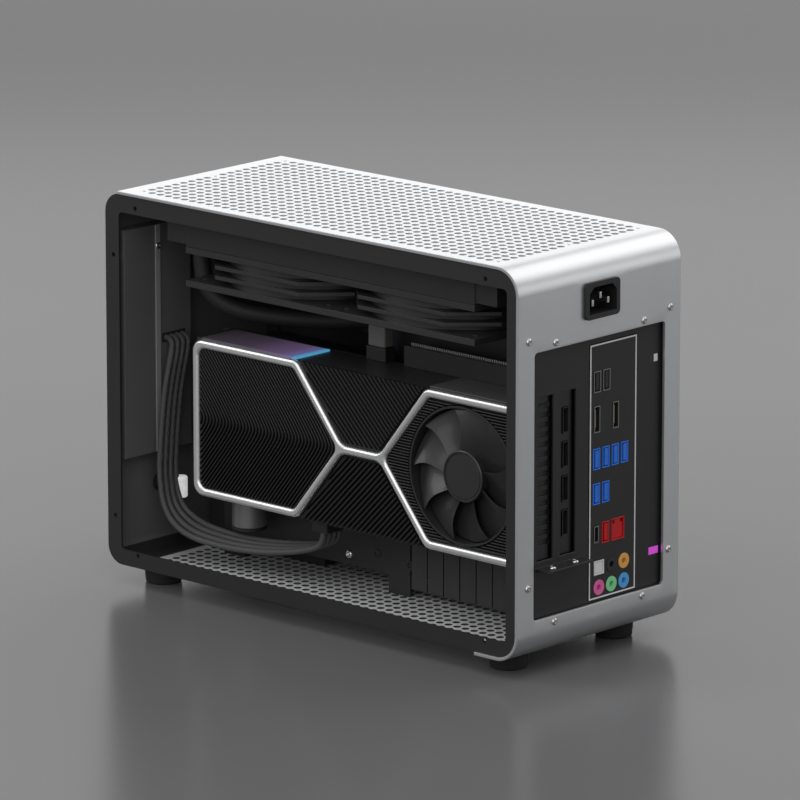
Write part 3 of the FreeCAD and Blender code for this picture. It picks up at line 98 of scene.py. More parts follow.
class Finish:
    """A material with its nodes."""

    def __init__(self, name):
        self.material = bpy.data.materials.new(name)
        self.material.use_nodes = True
        self.tree = self.material.node_tree
        self.shader = self.tree.nodes["Principled BSDF"]

    def node(self, kind, settings, sockets, output=0):
        """Adds a node: its settings first, then the values or links of its sockets."""
        made = self.tree.nodes.new(kind)
        for name, setting in settings.items():
            if name == "stops":
                ramp = made.color_ramp.elements
                for index, (where, colour) in enumerate(setting):
                    stop = ramp[index] if index < 2 else ramp.new(where)
                    stop.position = where
                    stop.color = (*colour, 1)
            else:
                setattr(made, name, setting)
        for key, value in sockets.items():
            self.feed(made.inputs[key], value)
        return Tone(self, made.outputs[output])

    def feed(self, socket, value):
        """Links a tone to a socket, or sets its value."""
        if isinstance(value, Tone):
            self.tree.links.new(value.socket, socket)
        elif isinstance(value, tuple) and len(value) == 3 and socket.type == "RGBA":
            socket.default_value = (*value, 1)
        else:
            socket.default_value = value

    def place(self):
        return self.node("ShaderNodeTexCoord", {}, {}, "Object")

    def along(self, axis):
        return self.node("ShaderNodeSeparateXYZ", {}, {0: self.place()}, "XYZ".index(axis))

    def noise(self, scale, detail=2.0, stretch=None):
        where = self.place()
        if stretch:
            where = self.node("ShaderNodeVectorMath", {"operation": "MULTIPLY"}, {0: where, 1: stretch})
        return self.node("ShaderNodeTexNoise", {}, {"Vector": where, "Scale": scale, "Detail": detail})

    def mix(self, share, first, second):
        return self.node("ShaderNodeMix", {"data_type": "RGBA"}, {0: share, 6: first, 7: second}, 2)

    def mottled(self, share, colour, spread):
        """The colour, darker to paler by a share of itself."""
        return self.mix(share, shade(colour, 1 - spread), shade(colour, 1 + spread))

    def stripes(self, axis, pitch, fill):
        """Bands across an axis, 1 on the band."""
        return (self.along(axis) % pitch) < pitch * fill

    def wear(self, **inputs):
        for name, value in inputs.items():
            self.feed(self.shader.inputs[name.replace("_", " ")], value)

    def relief(self, height, strength, distance):
        bump = self.node("ShaderNodeBump", {}, {"Height": height, "Strength": strength, "Distance": distance})
        self.wear(Normal=bump)


def shade(colour, factor):
    return tuple(min(1.0, part * factor) for part in colour)


def coated(name, colour, rough, metal=0.0, pores=1800.0, depth=0.12, mottle=0.07, spread=0.08, coat=0.0):
    """Painted, blasted or moulded surface: clouded tone, fine pores and a roughness that varies with them."""
    finish = Finish(name)
    cloud = finish.noise(26.0, 3.0)
    grit = finish.noise(pores)
    finish.wear(Base_Color=finish.mottled(cloud, colour, mottle), Metallic=metal, Coat_Weight=coat)
    finish.wear(Roughness=rough + (grit - 0.5) * spread)
    finish.relief(grit, depth, 0.00012)
    return finish.material


def brushed(name, colour, rough, stretch, pores=900.0, mottle=0.05):
    """Metal with fine drawn lines along one direction."""
    finish = Finish(name)
    lines = finish.noise(pores, 3.0, stretch)
    finish.wear(Base_Color=finish.mottled(lines, colour, mottle), Metallic=1.0)
    finish.wear(Roughness=rough + (lines - 0.5) * 0.12)
    finish.relief(lines, 0.05, 0.0001)
    return finish.material


def banded(name, colour, band_colour, axis, pitch, fill, rough, metal=0.0, depth=0.6):
    """Surface with regular fine grooves across one direction, as fin stacks and ribbon cable have."""
    finish = Finish(name)
    band = finish.stripes(axis, pitch, fill)
    grit = finish.noise(1500.0)
    finish.wear(Base_Color=finish.mix(band, colour, band_colour), Metallic=metal)
    finish.wear(Roughness=rough + (grit - 0.5) * 0.1)
    finish.relief(band + grit * 0.15, depth, 0.0003)
    return finish.material


def braided(name, colour, rough):
    """Woven cable sleeve: two crossing sets of strands."""
    finish = Finish(name)
    x, y, z = [finish.along(axis) for axis in "XYZ"]
    over = ((x + y + z * 1.3) * 4200.0).wave()
    under = ((x - y - z * 1.1) * 4200.0).wave()
    weave = over * under * 0.5 + 0.5
    finish.wear(Base_Color=finish.mix(weave, shade(colour, 0.55), shade(colour, 1.5)))
    finish.wear(Roughness=rough + (weave - 0.5) * 0.15)
    finish.relief(weave, 0.5, 0.0003)
    return finish.material


GLOW_FRONT, GLOW_LONG, GLOW_STRENGTH = -0.113, 0.081, 0.8
GLOW_STOPS = [(0.0, (0.006, 0.005, 0.007)), (1.0, (0.08, 0.34, 0.56)), (0.45, (0.03, 0.02, 0.035)),
              (0.82, (0.10, 0.06, 0.14)), (0.94, (0.11, 0.11, 0.30)), (0.965, (0.05, 0.27, 0.50))]


def glowing():
    """Lit panel on the card: dark at its front end, then violet, and a blue line at its rear end."""
    finish = Finish("card_light_glow")
    cloud = finish.noise(60.0, 2.0)
    share = (finish.along("X") - GLOW_FRONT) / GLOW_LONG
    tint = finish.node("ShaderNodeValToRGB", {"stops": GLOW_STOPS}, {0: share + (cloud - 0.5) * 0.05})
    finish.wear(Base_Color=finish.mix(cloud, (0.05, 0.045, 0.055), (0.07, 0.06, 0.075)))
    finish.wear(Roughness=0.4 + cloud * 0.1, Emission_Color=tint, Emission_Strength=GLOW_STRENGTH)
    return finish.material


def lit(name, colour, strength):
    """Lamp, or a pale part whose glow is painted light: clouded, with a light of its own."""
    finish = Finish(name)
    cloud = finish.noise(300.0, 2.0)
    finish.wear(Base_Color=finish.mix(cloud, shade(colour, 0.4), shade(colour, 0.6)))
    finish.wear(Emission_Color=finish.mix(cloud, shade(colour, 0.6), colour), Emission_Strength=strength)
    finish.wear(Roughness=0.4 + cloud * 0.1)
    return finish.material


def plastic(name, colour, mottle):
    """Moulded port or jack."""
    return coated(name + "_plastic", colour, 0.4, 0.0, 1800.0, 0.08, mottle)


SILVER = coated("silver_blasted", (0.70, 0.71, 0.72), 0.38, 0.85, 2600.0, 0.05, 0.03)
SILVER_INSIDE = coated("silver_floor", (0.80, 0.805, 0.81), 0.42, 0.15, 2600.0, 0.05, 0.05)
CUT_EDGE = coated("silver_cut_edge", (0.58, 0.585, 0.59), 0.5, 0.25, 2600.0, 0.05, 0.04)
DARK_EDGE = coated("punched_edge_shadow", (0.05, 0.05, 0.052), 0.6, 0.0, 2600.0, 0.05, 0.1)
BLACK = coated("black_powder_coat", (0.020, 0.020, 0.021), 0.5, 0.0, 1500.0, 0.2, 0.12)
COVER = coated("cover_dark_paint", (0.13, 0.13, 0.132), 0.42, 0.0, 1700.0, 0.12, 0.08)
# Paler paint on the cover's raised seam: a painted highlight.
COVER_SEAM_HIGHLIGHT = coated("cover_seam_painted_highlight", (0.30, 0.30, 0.302), 0.38, 0.0, 1700.0, 0.12, 0.08)
RUBBER = coated("foot_rubber", (0.016, 0.016, 0.017), 0.78, 0.0, 900.0, 0.35, 0.15)
NICKEL = coated("screw_nickel_plate", (0.72, 0.71, 0.69), 0.28, 1.0, 1400.0, 0.06, 0.05)
INLET = coated("inlet_moulding", (0.018, 0.018, 0.019), 0.4, 0.0, 1900.0, 0.1, 0.1)
CARD_SILVER = coated("card_frame_satin", (0.93, 0.935, 0.94), 0.36, 0.92, 2400.0, 0.0, 0.015, 0.02)
CARD_FINS = coated("card_fin_anodised", (0.030, 0.030, 0.032), 0.38, 0.55, 2000.0, 0.1, 0.12)
CARD_BLACK = coated("card_body_black", (0.020, 0.020, 0.021), 0.45, 0.0, 1600.0, 0.15, 0.1)
CARD_END = coated("card_end_cover_satin", (0.075, 0.075, 0.077), 0.36, 0.0, 1600.0, 0.12, 0.08)
CARD_FAN = coated("card_fan_moulding", (0.026, 0.026, 0.028), 0.36, 0.0, 1500.0, 0.05, 0.08, 0.06, 0.2)
STEEL = brushed("bracket_black_nickel", (0.07, 0.07, 0.073), 0.4, (1.0, 1.0, 0.06))
PORT_SHELL = brushed("port_shell_dark_tin", (0.30, 0.30, 0.305), 0.42, (1.0, 1.0, 0.2))
POST_STEEL = coated("post_satin_steel", (0.24, 0.24, 0.243), 0.34, 0.6, 2000.0, 0.04, 0.03)
GOLD = coated("contact_gold", (0.55, 0.42, 0.2), 0.3, 1.0, 1400.0, 0.05, 0.06)
PIN_TIN = coated("contact_tin", (0.45, 0.45, 0.44), 0.42, 0.6, 1400.0, 0.05, 0.06)
RIBBON = banded("ribbon_black", (0.022, 0.022, 0.024), (0.05, 0.05, 0.052), "X", 0.0009, 0.55, 0.5)
BOARD = coated("board_solder_mask", (0.014, 0.014, 0.016), 0.42, 0.0, 700.0, 0.25, 0.25)
PORT_DARK = coated("port_dark_plastic", (0.022, 0.022, 0.023), 0.42, 0.0, 1800.0, 0.1, 0.1)
PORT_BLUE = plastic("port_blue", (0.035, 0.21, 0.82), 0.08)
PORT_RED = plastic("port_red", (0.60, 0.010, 0.013), 0.08)
PORT_WHITE = plastic("port_white", (0.86, 0.86, 0.85), 0.02)
JACK_ORANGE = plastic("jack_orange", (0.90, 0.46, 0.11), 0.06)
JACK_PINK = plastic("jack_pink", (0.90, 0.17, 0.46), 0.06)
JACK_GREEN = plastic("jack_green", (0.28, 0.80, 0.38), 0.06)
JACK_BLUE = plastic("jack_blue", (0.11, 0.44, 0.90), 0.06)
RADIATOR = coated("radiator_paint", (0.020, 0.020, 0.021), 0.46, 0.0, 1700.0, 0.16, 0.1)
FAN_BLACK = coated("fan_moulding", (0.030, 0.030, 0.032), 0.4, 0.0, 1300.0, 0.12, 0.1)
HOSE = coated("hose_rubber", (0.020, 0.020, 0.021), 0.62, 0.0, 1100.0, 0.25, 0.12)
SUPPLY = coated("supply_paint", (0.018, 0.018, 0.019), 0.55, 0.0, 1400.0, 0.2, 0.12)
SLEEVE = braided("lead_woven_sleeve", (0.075, 0.075, 0.078), 0.55)
GLOW = glowing()
PINK_GLOW = lit("edge_light_pink", (0.50, 0.06, 0.48), 1.0)
# White guide pin with a glow of its own: painted light, the pin is no lamp.
GUIDE_PIN_PAINTED_GLOW = lit("guide_pin_white_painted_glow", (0.95, 0.95, 0.94), 0.55)
LATCH = coated("latch_grey_plastic", (0.15, 0.15, 0.145), 0.45, 0.0, 1700.0, 0.1, 0.06)


# Mesh helpers

def piece(name, mesh, finish, body="case", stands_for=(), angle=32.0):
    """Links a finished mesh to a body of the frame."""
    if isinstance(mesh, bmesh.types.BMesh):
        built = bpy.data.meshes.new(name)
        mesh.normal_update()
        mesh.to_mesh(built)
        mesh.free()
        mesh = built
    mesh.polygons.foreach_set("use_smooth", [True] * len(mesh.polygons))
    mesh.set_sharp_from_angle(angle=math.radians(angle))
    for layer in finish if isinstance(finish, tuple) else (finish,):
        mesh.materials.append(layer)
    item = bpy.data.objects.new(name, mesh)
    scene.collection.objects.link(item)
    weight = item.modifiers.new("flat_faces", "WEIGHTED_NORMAL")
    weight.keep_sharp = True
    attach(item, body)
    if stands_for:
        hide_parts(*stands_for)
    return item


def bevel(mesh, edges, width, steps, clamp=True):
    """Rounds the given edges."""
    bmesh.ops.bevel(mesh, geom=edges, offset=width * MM, offset_type="OFFSET", segments=steps, profile=0.5,
                    affect="EDGES", clamp_overlap=clamp)


def soften(mesh, width, steps=2, least=32.0, chosen=None, clamp=True):
    """Breaks the sharp edges of a mesh."""
    edges = [edge for edge in mesh.edges
             if len(edge.link_faces) == 2 and edge.calc_face_angle() > math.radians(least)
             and (chosen is None or chosen(edge))]
    bevel(mesh, edges, width, steps, clamp)


def own_shape(node):
    """Copy of a node's mesh with its flat faces joined."""
    mesh = bmesh.new()
    mesh.from_mesh(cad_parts[node].data)
    bmesh.ops.remove_doubles(mesh, verts=mesh.verts[:], dist=0.002 * MM)
    bmesh.ops.dissolve_limit(mesh, angle_limit=math.radians(0.4), verts=mesh.verts[:], edges=mesh.edges[:])
    return mesh


def edged(node, finish, width, steps=2, body="case"):
    """The node's own shape with its sharp edges broken."""
    mesh = own_shape(node)
    soften(mesh, width, steps)
    piece(node + "_edged", mesh, finish, body, (node,))


def add_box(mesh, low, high):
    """Box between two corner points."""
    low, high = Vector(map(min, low, high)), Vector(map(max, low, high))
    for vert in bmesh.ops.create_cube(mesh, size=1.0)["verts"]:
        vert.co = Vector(low[i] + (high[i] - low[i]) * (vert.co[i] + 0.5) for i in range(3))


def blocks(name, boxes, finish, width=0.0, steps=2, stands_for=()):
    """Piece of plain boxes, each between two corner points, with their edges broken."""
    mesh = bmesh.new()
    for low, high in boxes:
        add_box(mesh, low, high)
    if width:
        soften(mesh, width, steps)
    piece(name, mesh, finish, stands_for=stands_for)


def add_turned(mesh, outline, centre, axis, steps=32):
    """Solid of revolution: (radius, height) pairs in mm about an axis through the centre."""
    axis = Vector(axis).normalized()
    side = axis.orthogonal().normalized()
    other = axis.cross(side)
    rings = []
    for radius, height in outline:
        if radius == 0:
            rings.append([mesh.verts.new(centre + axis * height * MM)])
            continue
        ring = []
        for step in range(steps):
            angle = math.tau * step / steps
            ring.append(mesh.verts.new(centre + axis * height * MM
                                       + (side * math.cos(angle) + other * math.sin(angle)) * radius * MM))
        rings.append(ring)
    for first, second in zip(rings, rings[1:]):
        for step in range(steps):
            after = (step + 1) % steps
            corners = [first[step % len(first)], first[after % len(first)],
                       second[after % len(second)], second[step % len(second)]]
            unique = [vert for index, vert in enumerate(corners) if vert not in corners[:index]]
            mesh.faces.new(unique)


def closed(mesh):
    """Turns all faces outwards."""
    bmesh.ops.recalc_face_normals(mesh, faces=mesh.faces[:])
    return mesh


def fill(loops):
    """Triangles over flat outlines, the first one outside and the others holes: index triples."""
    flat = bmesh.new()
    for loop in loops:
        verts = [flat.verts.new((a, b, 0)) for a, b in loop]
        for first, second in zip(verts, verts[1:] + verts[:1]):
            flat.edges.new((first, second))
    flat.verts.index_update()
    bmesh.ops.triangle_fill(flat, use_beauty=True, edges=flat.edges[:])
    triples = [tuple(vert.index for vert in face.verts) for face in flat.faces]
    flat.free()
    return triples


def round_loop(centre, radius, count):
    """Circle as a row of points."""
    turns = [math.tau * step / count for step in range(count)]
    return [(centre[0] + radius * math.cos(turn), centre[1] + radius * math.sin(turn)) for turn in turns]


def soft_box_loop(low, high, radius, count=5):
    """Rectangle with rounded corners."""
    loop = []
    corners = ((high[0] - radius, high[1] - radius, 0), (low[0] + radius, high[1] - radius, 90),
               (low[0] + radius, low[1] + radius, 180), (high[0] - radius, low[1] + radius, 270))
    for across, up, start in corners:
        for step in range(count + 1):
            angle = math.radians(start + 90 * step / count)
            loop.append((across + radius * math.cos(angle), up + radius * math.sin(angle)))
    return loop


class Plate:
    """Sheet metal from its outer face: each point carries its partner on the inner face."""

    def __init__(self):
        self.outer, self.inner, self.faces, self.known, self.rim = [], [], [], {}, set()

    def at(self, place, inward, rim=False):
        key = tuple(round(part, 3) for part in place)
        if key not in self.known:
            self.known[key] = len(self.outer)
            self.outer.append(Vector(spot(*place)))
            self.inner.append(Vector(spot(*(a + b for a, b in zip(place, inward)))))
        if rim:
            self.rim.add(self.known[key])
        return self.known[key]

    def holed_cell(self, corners, ring):
        """Square cell round a hole: four faces between the corners and a quarter of the ring each."""
        quarter = len(ring) // 4
        for side in range(4):
            arc = [ring[(side * quarter + step) % len(ring)] for step in range(quarter + 1)]
            self.faces.append([corners[side], corners[(side + 1) % 4]] + arc[::-1])

    def sheet(self, loops, place, inward, on_rim):
        """Flat part inside the first outline and round the others."""
        points = [(point, on_rim(index, point)) for index, loop in enumerate(loops) for point in loop]
        for triple in fill(loops):
            self.faces.append([self.at(place(*points[i][0]), inward, points[i][1]) for i in triple])

    def mesh(self, width, inside=0):
        """Closed mesh with the marked outlines' edges broken; inside is the inner faces' finish."""
        made = bmesh.new()
        count = len(self.outer)
        verts = [made.verts.new(place) for place in self.outer + self.inner]
        sides = {}
        for face in self.faces:
            made.faces.new([verts[i] for i in face])
            made.faces.new([verts[i + count] for i in reversed(face)]).material_index = inside
            for first, second in zip(face, face[1:] + face[:1]):
                key = (min(first, second), max(first, second))
                sides[key] = sides.get(key, 0) + 1
        for (first, second), uses in sides.items():
            if uses == 1:
                corners = (first, second, second + count, first + count)
                wall = made.faces.new([verts[i] for i in corners])
                wall.material_index = 0 if first in self.rim and second in self.rim else 1
        closed(made)
        made.verts.index_update()
        soften(made, width, 2, 50.0, lambda edge: all(v.index % count in self.rim for v in edge.verts))
        return made


# Perforated sheets

HOLE_PITCH, HOLE_RADIUS, HOLE_SIDES = 7.0, 2.5, 16
TOP_COLUMNS, FLOOR_COLUMNS, HOLE_ROWS = 43, 41, 19
TOP_HOLE_MIDDLE, TOP_FRONT_GAP = 170.6, 11.6
SHEET, BEND, BEND_STEPS, LIP_END = 2.0, 15.0, 10, 32.7
MID_WIDTH = CASE_WIDTH / 2
PORT_WINDOW = soft_box_loop((14.8, 50.7), (132.8, 214.6), 2.5)
INLET_WINDOW = soft_box_loop((59.6, 16.8), (87.8, 36.9), 1.0)
REAR_SCREWS = [(MID_WIDTH + side * out, top) for out, top in ((64, 42.8), (40, 47.0), (64, 193.6), (40, 218.3))
               for side in (-1, 1)]


def hole_ring(plate, middle, across, level, inward):
    """Points of one round hole, starting at a corner's direction."""
    ring = []
    for step in range(HOLE_SIDES):
        angle = math.radians(315) - math.tau * step / HOLE_SIDES
        along, aside = HOLE_RADIUS * math.cos(angle), HOLE_RADIUS * math.sin(angle)
        ring.append(plate.at((middle + along, across + aside, level), inward))
    return ring


def punched_field(plate, stations, lines, level, inward):
    """Rows of cells between stations along the case and lines across it, with holes but in the outer cells."""
    for column, (first, second) in enumerate(zip(stations, stations[1:])):
        for row, (near, far) in enumerate(zip(lines, lines[1:])):
            corners = []
            for rear, across in ((first, near), (second, near), (second, far), (first, far)):
                on_rim = across in (lines[0], lines[-1]) or rear == stations[0]
                corners.append(plate.at((rear, across, level), inward, on_rim))
            if row in (0, len(lines) - 2) or column in (0, len(stations) - 2):
                plate.faces.append(corners)
                continue
            middle, across = (first + second) / 2, (near + far) / 2
            plate.holed_cell(corners, hole_ring(plate, middle, across, level, inward))


def folded_shell():
    """Folded sheet: perforated top, rounded bends, rear wall with its window, lip under the floor."""
    half = TOP_COLUMNS * HOLE_PITCH / 2
    stations = [TOP_HOLE_MIDDLE - half + HOLE_PITCH * step for step in range(TOP_COLUMNS + 1)]
    stations = [FRONT_DEPTH - TOP_FRONT_GAP] + stations[::-1] + [BEND]
    side = (CASE_WIDTH - HOLE_ROWS * HOLE_PITCH) / 2
    lines = [0.0] + [side + HOLE_PITCH * step for step in range(HOLE_ROWS + 1)] + [CASE_WIDTH]
    plate = Plate()
    punched_field(plate, stations, lines, -SHEET, (0, 0, SHEET))
    low = INNER_HEIGHT - BEND
    reach = BEND + SHEET
    upper, lower = [], []
    for step in range(BEND_STEPS + 1):
        angle = math.pi / 2 * step / BEND_STEPS
        sine, cosine = math.sin(angle), math.cos(angle)
        upper.append((BEND - reach * sine, BEND - reach * cosine, SHEET * sine, SHEET * cosine))
        lower.append((BEND - reach * cosine, low + reach * sine, SHEET * cosine, -SHEET * sine))
    lower.append((LIP_END, INNER_HEIGHT + SHEET, 0.0, -SHEET))
    for profile in (upper, lower):
        for first, second in zip(profile, profile[1:]):
            for near, far in zip(lines, lines[1:]):
                face = []
                for station, across in ((first, near), (second, near), (second, far), (first, far)):
                    rear, top, deep, drop = station
                    on_rim = across in (0.0, CASE_WIDTH) or rear == LIP_END
                    face.append(plate.at((rear, across, top), (deep, 0, drop), on_rim))
                plate.faces.append(face)
    outline = [(across, BEND) for across in lines] + [(across, low) for across in reversed(lines)]
    loops = [outline, PORT_WINDOW, INLET_WINDOW] + [round_loop(place, 1.6, 16) for place in REAR_SCREWS]
    plate.sheet(loops, lambda across, top: (-SHEET, across, top), (SHEET, 0, 0),
                lambda index, point: index < 3 and point[0] not in lines[1:-1])
    finishes = (SILVER, CUT_EDGE)
    piece("outer_shell_folded", plate.mesh(0.35), finishes, stands_for=("outer_shell",))


def punched_floor():
    """Perforated floor sheet."""
    low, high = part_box("floor_panel")
    front, rear = REAR_PLANE - low.x / MM, REAR_PLANE - high.x / MM
    near, far = low.y / MM - OPEN_SIDE, high.y / MM - OPEN_SIDE
    level, thick = ROOF_PLANE - high.z / MM, (high.z - low.z) / MM
    middle, half = (front + rear) / 2, FLOOR_COLUMNS / 2
    stations = [middle + HOLE_PITCH * (half - step) for step in range(FLOOR_COLUMNS + 1)]
    stations = [front] + stations + [rear]
    side = (far - near - HOLE_ROWS * HOLE_PITCH) / 2
    lines = [near] + [near + side + HOLE_PITCH * step for step in range(HOLE_ROWS + 1)] + [far]
    plate = Plate()
    punched_field(plate, stations, lines, level, (0, 0, thick))
    finishes = (SILVER_INSIDE, DARK_EDGE)
    piece("floor_punched", plate.mesh(0.2), finishes, stands_for=("floor_panel",))


# Screws, feet and the button

SOCKET_FLOOR = -0.9
TOP_SCREW = [(0, -1.6), (2.45, -1.6), (2.45, -0.2), (2.3, -0.05), (1.3, -0.05), (1.2, -0.15)]
SIDE_SCREW = [(2.65, -1.1), (2.65, -0.25), (2.45, -0.05), (1.4, -0.05), (1.3, -0.15)]
BRACKET_SCREW_NEAR, SLOT_PITCH, LEDGE_TOP = 28.65, 20.32, 184
BUTTON_CAP = [(0, 0.5), (3, 0.45), (5.6, 0.25), (6.9, 0.02), (7.4, 0.0), (7.8, 0.2), (8.0, 0.6), (8.0, 8.2),
              (7.7, 8.5), (0, 8.5)]

def add_screw(mesh, seat, axis, radius=2.25, tall=1.2):
    """Domed head with a six-sided socket."""
    rim = radius * 0.44
    outline = [(radius * 0.95, 0.0), (radius, 0.15), (radius * 0.97, tall * 0.45), (radius * 0.82, tall * 0.8),
               (radius * 0.6, tall), (radius * 0.5, tall), (rim, tall * 0.9)]
    add_turned(mesh, outline, seat, axis, 24)
    add_turned(mesh, [outline[-1], (rim, tall * 0.3), (0, tall * 0.25)], seat, axis, 6)


def add_flush_screw(mesh, outline, seat, axis):
    """Sunk head whose outline ends at the rim of a six-sided socket."""
    add_turned(mesh, outline, seat, axis, 24)
    add_turned(mesh, [outline[-1], (outline[-1][0], SOCKET_FLOOR), (0, SOCKET_FLOOR)], seat, axis, 6)


def screws():
    """Rear screws, the two that hold the card's bracket, and the small ones in the top sheet."""
    rear = bmesh.new()
    for across, top in REAR_SCREWS:
        add_screw(rear, spot(-SHEET, across, top), (1, 0, 0))
    for number in range(2):
        add_screw(rear, spot(-4.5, BRACKET_SCREW_NEAR + SLOT_PITCH * number, LEDGE_TOP), (0, 0, 1))
    piece("rear_screws", rear, NICKEL, stands_for=("case_screws",))
    top = bmesh.new()
    half = (TOP_COLUMNS - 1) * HOLE_PITCH / 2
    for along in (-half, half):
        for across in (-63.0, 0.0, 63.0):
            seat = spot(TOP_HOLE_MIDDLE + along, MID_WIDTH + across, -SHEET)
            add_flush_screw(top, TOP_SCREW, seat, (0, 0, 1))
    piece("top_screws", top, NICKEL)


def feet():
    """Turned rubber feet with a groove and a recessed middle."""
    for end in ("front", "rear"):
        for side in ("near", "far"):
            node = f"foot_{end}_{side}"
            low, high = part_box(node)
            tall = (high.z - low.z) / MM
            base = Vector(((low.x + high.x) / 2, (low.y + high.y) / 2, low.z))
            foot = bmesh.new()
            outline = [(0, 1.2), (4.5, 1.2), (4.9, 0.9), (5.0, 0.0), (10.2, 0.0), (10.9, 0.3), (11.3, 1.0),
                       (11.6, 3.2), (11.3, 3.5), (11.3, 4.0), (11.7, 4.3), (12.0, tall - 1.0),
                       (11.8, tall - 0.3), (11.4, tall), (0, tall)]
            add_turned(foot, outline, base, (0, 0, 1), 48)
            piece(node + "_turned", closed(foot), RUBBER, stands_for=(node,), angle=40)


def button():
    """Round power button with a dished face."""
    low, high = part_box("power_button")
    middle = Vector((low.x, (low.y + high.y) / 2, (low.z + high.z) / 2))
    cap = bmesh.new()
    add_turned(cap, BUTTON_CAP, middle, (1, 0, 0), 48)
    piece("power_button_cap", closed(cap), NICKEL, "button", ("power_button",))


# Graphics card

CARD_CENTRE, CARD_MIDDLE, CARD_NEAR = 144.0, 137.4, 19.0
CARD_HALF, LOOP_SHOULDER, LOOP_POINT, BAR = 49.7, 53.5, 13.0, 5.2
CARD_FRONT_END, CARD_REAR_END = 142.0, 139.0
FAN_OFFSET, FAN_WELL = 83.0, 43.4
LIGHT_NEAR, LIGHT_REACH, END_COVER_FRONT = 22.0, 5.0, 91.0
CORNER_ROUND, BAR_ROUND = 4.0, 2.0
CONTACT_PITCH, CONTACT_WIDE, NOTCH_BORDER = 1.8, 0.8, 1.7
END_COVER_TOP, END_COVER_THICK, END_COVER_INSET = 86.9, 0.8, 5.2
FIN_BASE = (3.7, 5.0)
BLADES, BLADE_ROOT, BLADE_TIP, BLADE_THICK, BLADE_DEEP = 9, 15.4, 40.7, 1.1, 7.5
HUB = [(0, 0.3), (13.6, 0.3), (13.9, 0.7), (14.3, 0.7), (14.6, 0.05), (15.4, 0.0), (15.9, 0.4),
       (16.0, 1.2), (16.0, 19.6), (0, 19.6)]
SHAFT = [(1.95, 19.6), (1.95, 22.3), (0, 22.3)]


def card_spot(along, up, deep):
    """Point on the card: along towards the rear, up, and depth behind the bars' face."""
    return spot(CARD_CENTRE - along, CARD_NEAR + deep, CARD_MIDDLE - up)


def line_span(polygon, start, way):
    """Part of a line inside a convex polygon, as two lengths along it."""
    low, high = -1e6, 1e6
    middle = sum((Vector(p) for p in polygon), Vector((0, 0))) / len(polygon)
    for first, second in zip(polygon, polygon[1:] + polygon[:1]):
        first, second = Vector(first), Vector(second)
        normal = Vector((first.y - second.y, second.x - first.x))
        if normal.dot(middle - first) < 0:
            normal = -normal
        rate, gap = normal.dot(way), normal.dot(start - first)
        if abs(rate) < 1e-9:
            if gap < 0:
                return None
            continue
        limit = -gap / rate
        low, high = (max(low, limit), high) if rate > 0 else (low, min(high, limit))
    return (low, high) if high - low > 0.4 else None


FIN_SECTION = [(-0.5, 3.9), (-0.46, 1.9), (-0.3, 1.45), (0.0, 1.3), (0.3, 1.45), (0.46, 1.9), (0.5, 3.9)]
CHEVRON_CURVE = 4.0


def add_ridge(mesh, rows):
    """Closed ridge through a row of equal sections."""
    rings = [[mesh.verts.new(place) for place in row] for row in rows]
    for first, second in zip(rings, rings[1:]):
        for step in range(len(first)):
            after = (step + 1) % len(first)
            mesh.faces.new([first[step], first[after], second[after], second[step]])
    mesh.faces.new(rings[0][::-1])
    mesh.faces.new(rings[-1])


def trim(mesh, polygon):
    """Keeps what lies inside a convex polygon on the card's face, and closes the cuts."""
    middle = sum((card_spot(*corner, 0) for corner in polygon), Vector()) / len(polygon)
    for first, second in zip(polygon, polygon[1:] + polygon[:1]):
        corner = card_spot(*first, 0)
        outward = (card_spot(*second, 0) - corner).cross(Vector((0, 1, 0)))
        if outward.dot(middle - corner) > 0:
            outward = -outward
        made = bmesh.ops.bisect_plane(mesh, geom=mesh.verts[:] + mesh.edges[:] + mesh.faces[:], dist=1e-7,
                                      plane_co=corner, plane_no=outward, clear_outer=True)
        cut = [item for item in made["geom_cut"] if isinstance(item, bmesh.types.BMEdge)]
        bmesh.ops.holes_fill(mesh, edges=cut, sides=0)


def straight_fins(mesh, polygon, way, pitch, wide):
    """Parallel ridges over a convex polygon."""
    way = Vector(way).normalized()
    across = Vector((-way.y, way.x))
    spans = [across.dot(Vector(corner)) for corner in polygon]
    reaches = [way.dot(Vector(corner)) for corner in polygon]
    for number in range(math.floor(min(spans) / pitch), math.ceil(max(spans) / pitch) + 1):
        rows = []
        for reach in (min(reaches) - 2, max(reaches) + 2):
            row = []
            for shift, deep in FIN_SECTION:
                place = across * (number * pitch + shift * wide) + way * reach
                row.append(card_spot(place.x, place.y, deep))
            rows.append(row)
        add_ridge(mesh, rows)
    trim(mesh, polygon)


def chevron_fins(mesh, polygon, slope, pitch, wide):
    """Ridges bent to an arrow with a rounded point, side by side along the card."""
    top, tip = max(up for along, up in polygon), max(along for along, up in polygon)
    front = min(along for along, up in polygon)
    rise = [0.0, 1.0, 2.0, 3.2, 4.6, 6.4, 9.0, 13.0, 20.0, top + 1]
    levels = [-up for up in reversed(rise[1:])] + rise
    for number in range(math.ceil((tip - front) / pitch)):
        rows = []
        for up in levels:
            along = tip - 1.2 - number * pitch - slope * (math.hypot(up, CHEVRON_CURVE) - CHEVRON_CURVE)
            rows.append([card_spot(along + shift * wide, up, deep) for shift, deep in FIN_SECTION])
        add_ridge(mesh, rows)
    trim(mesh, polygon)


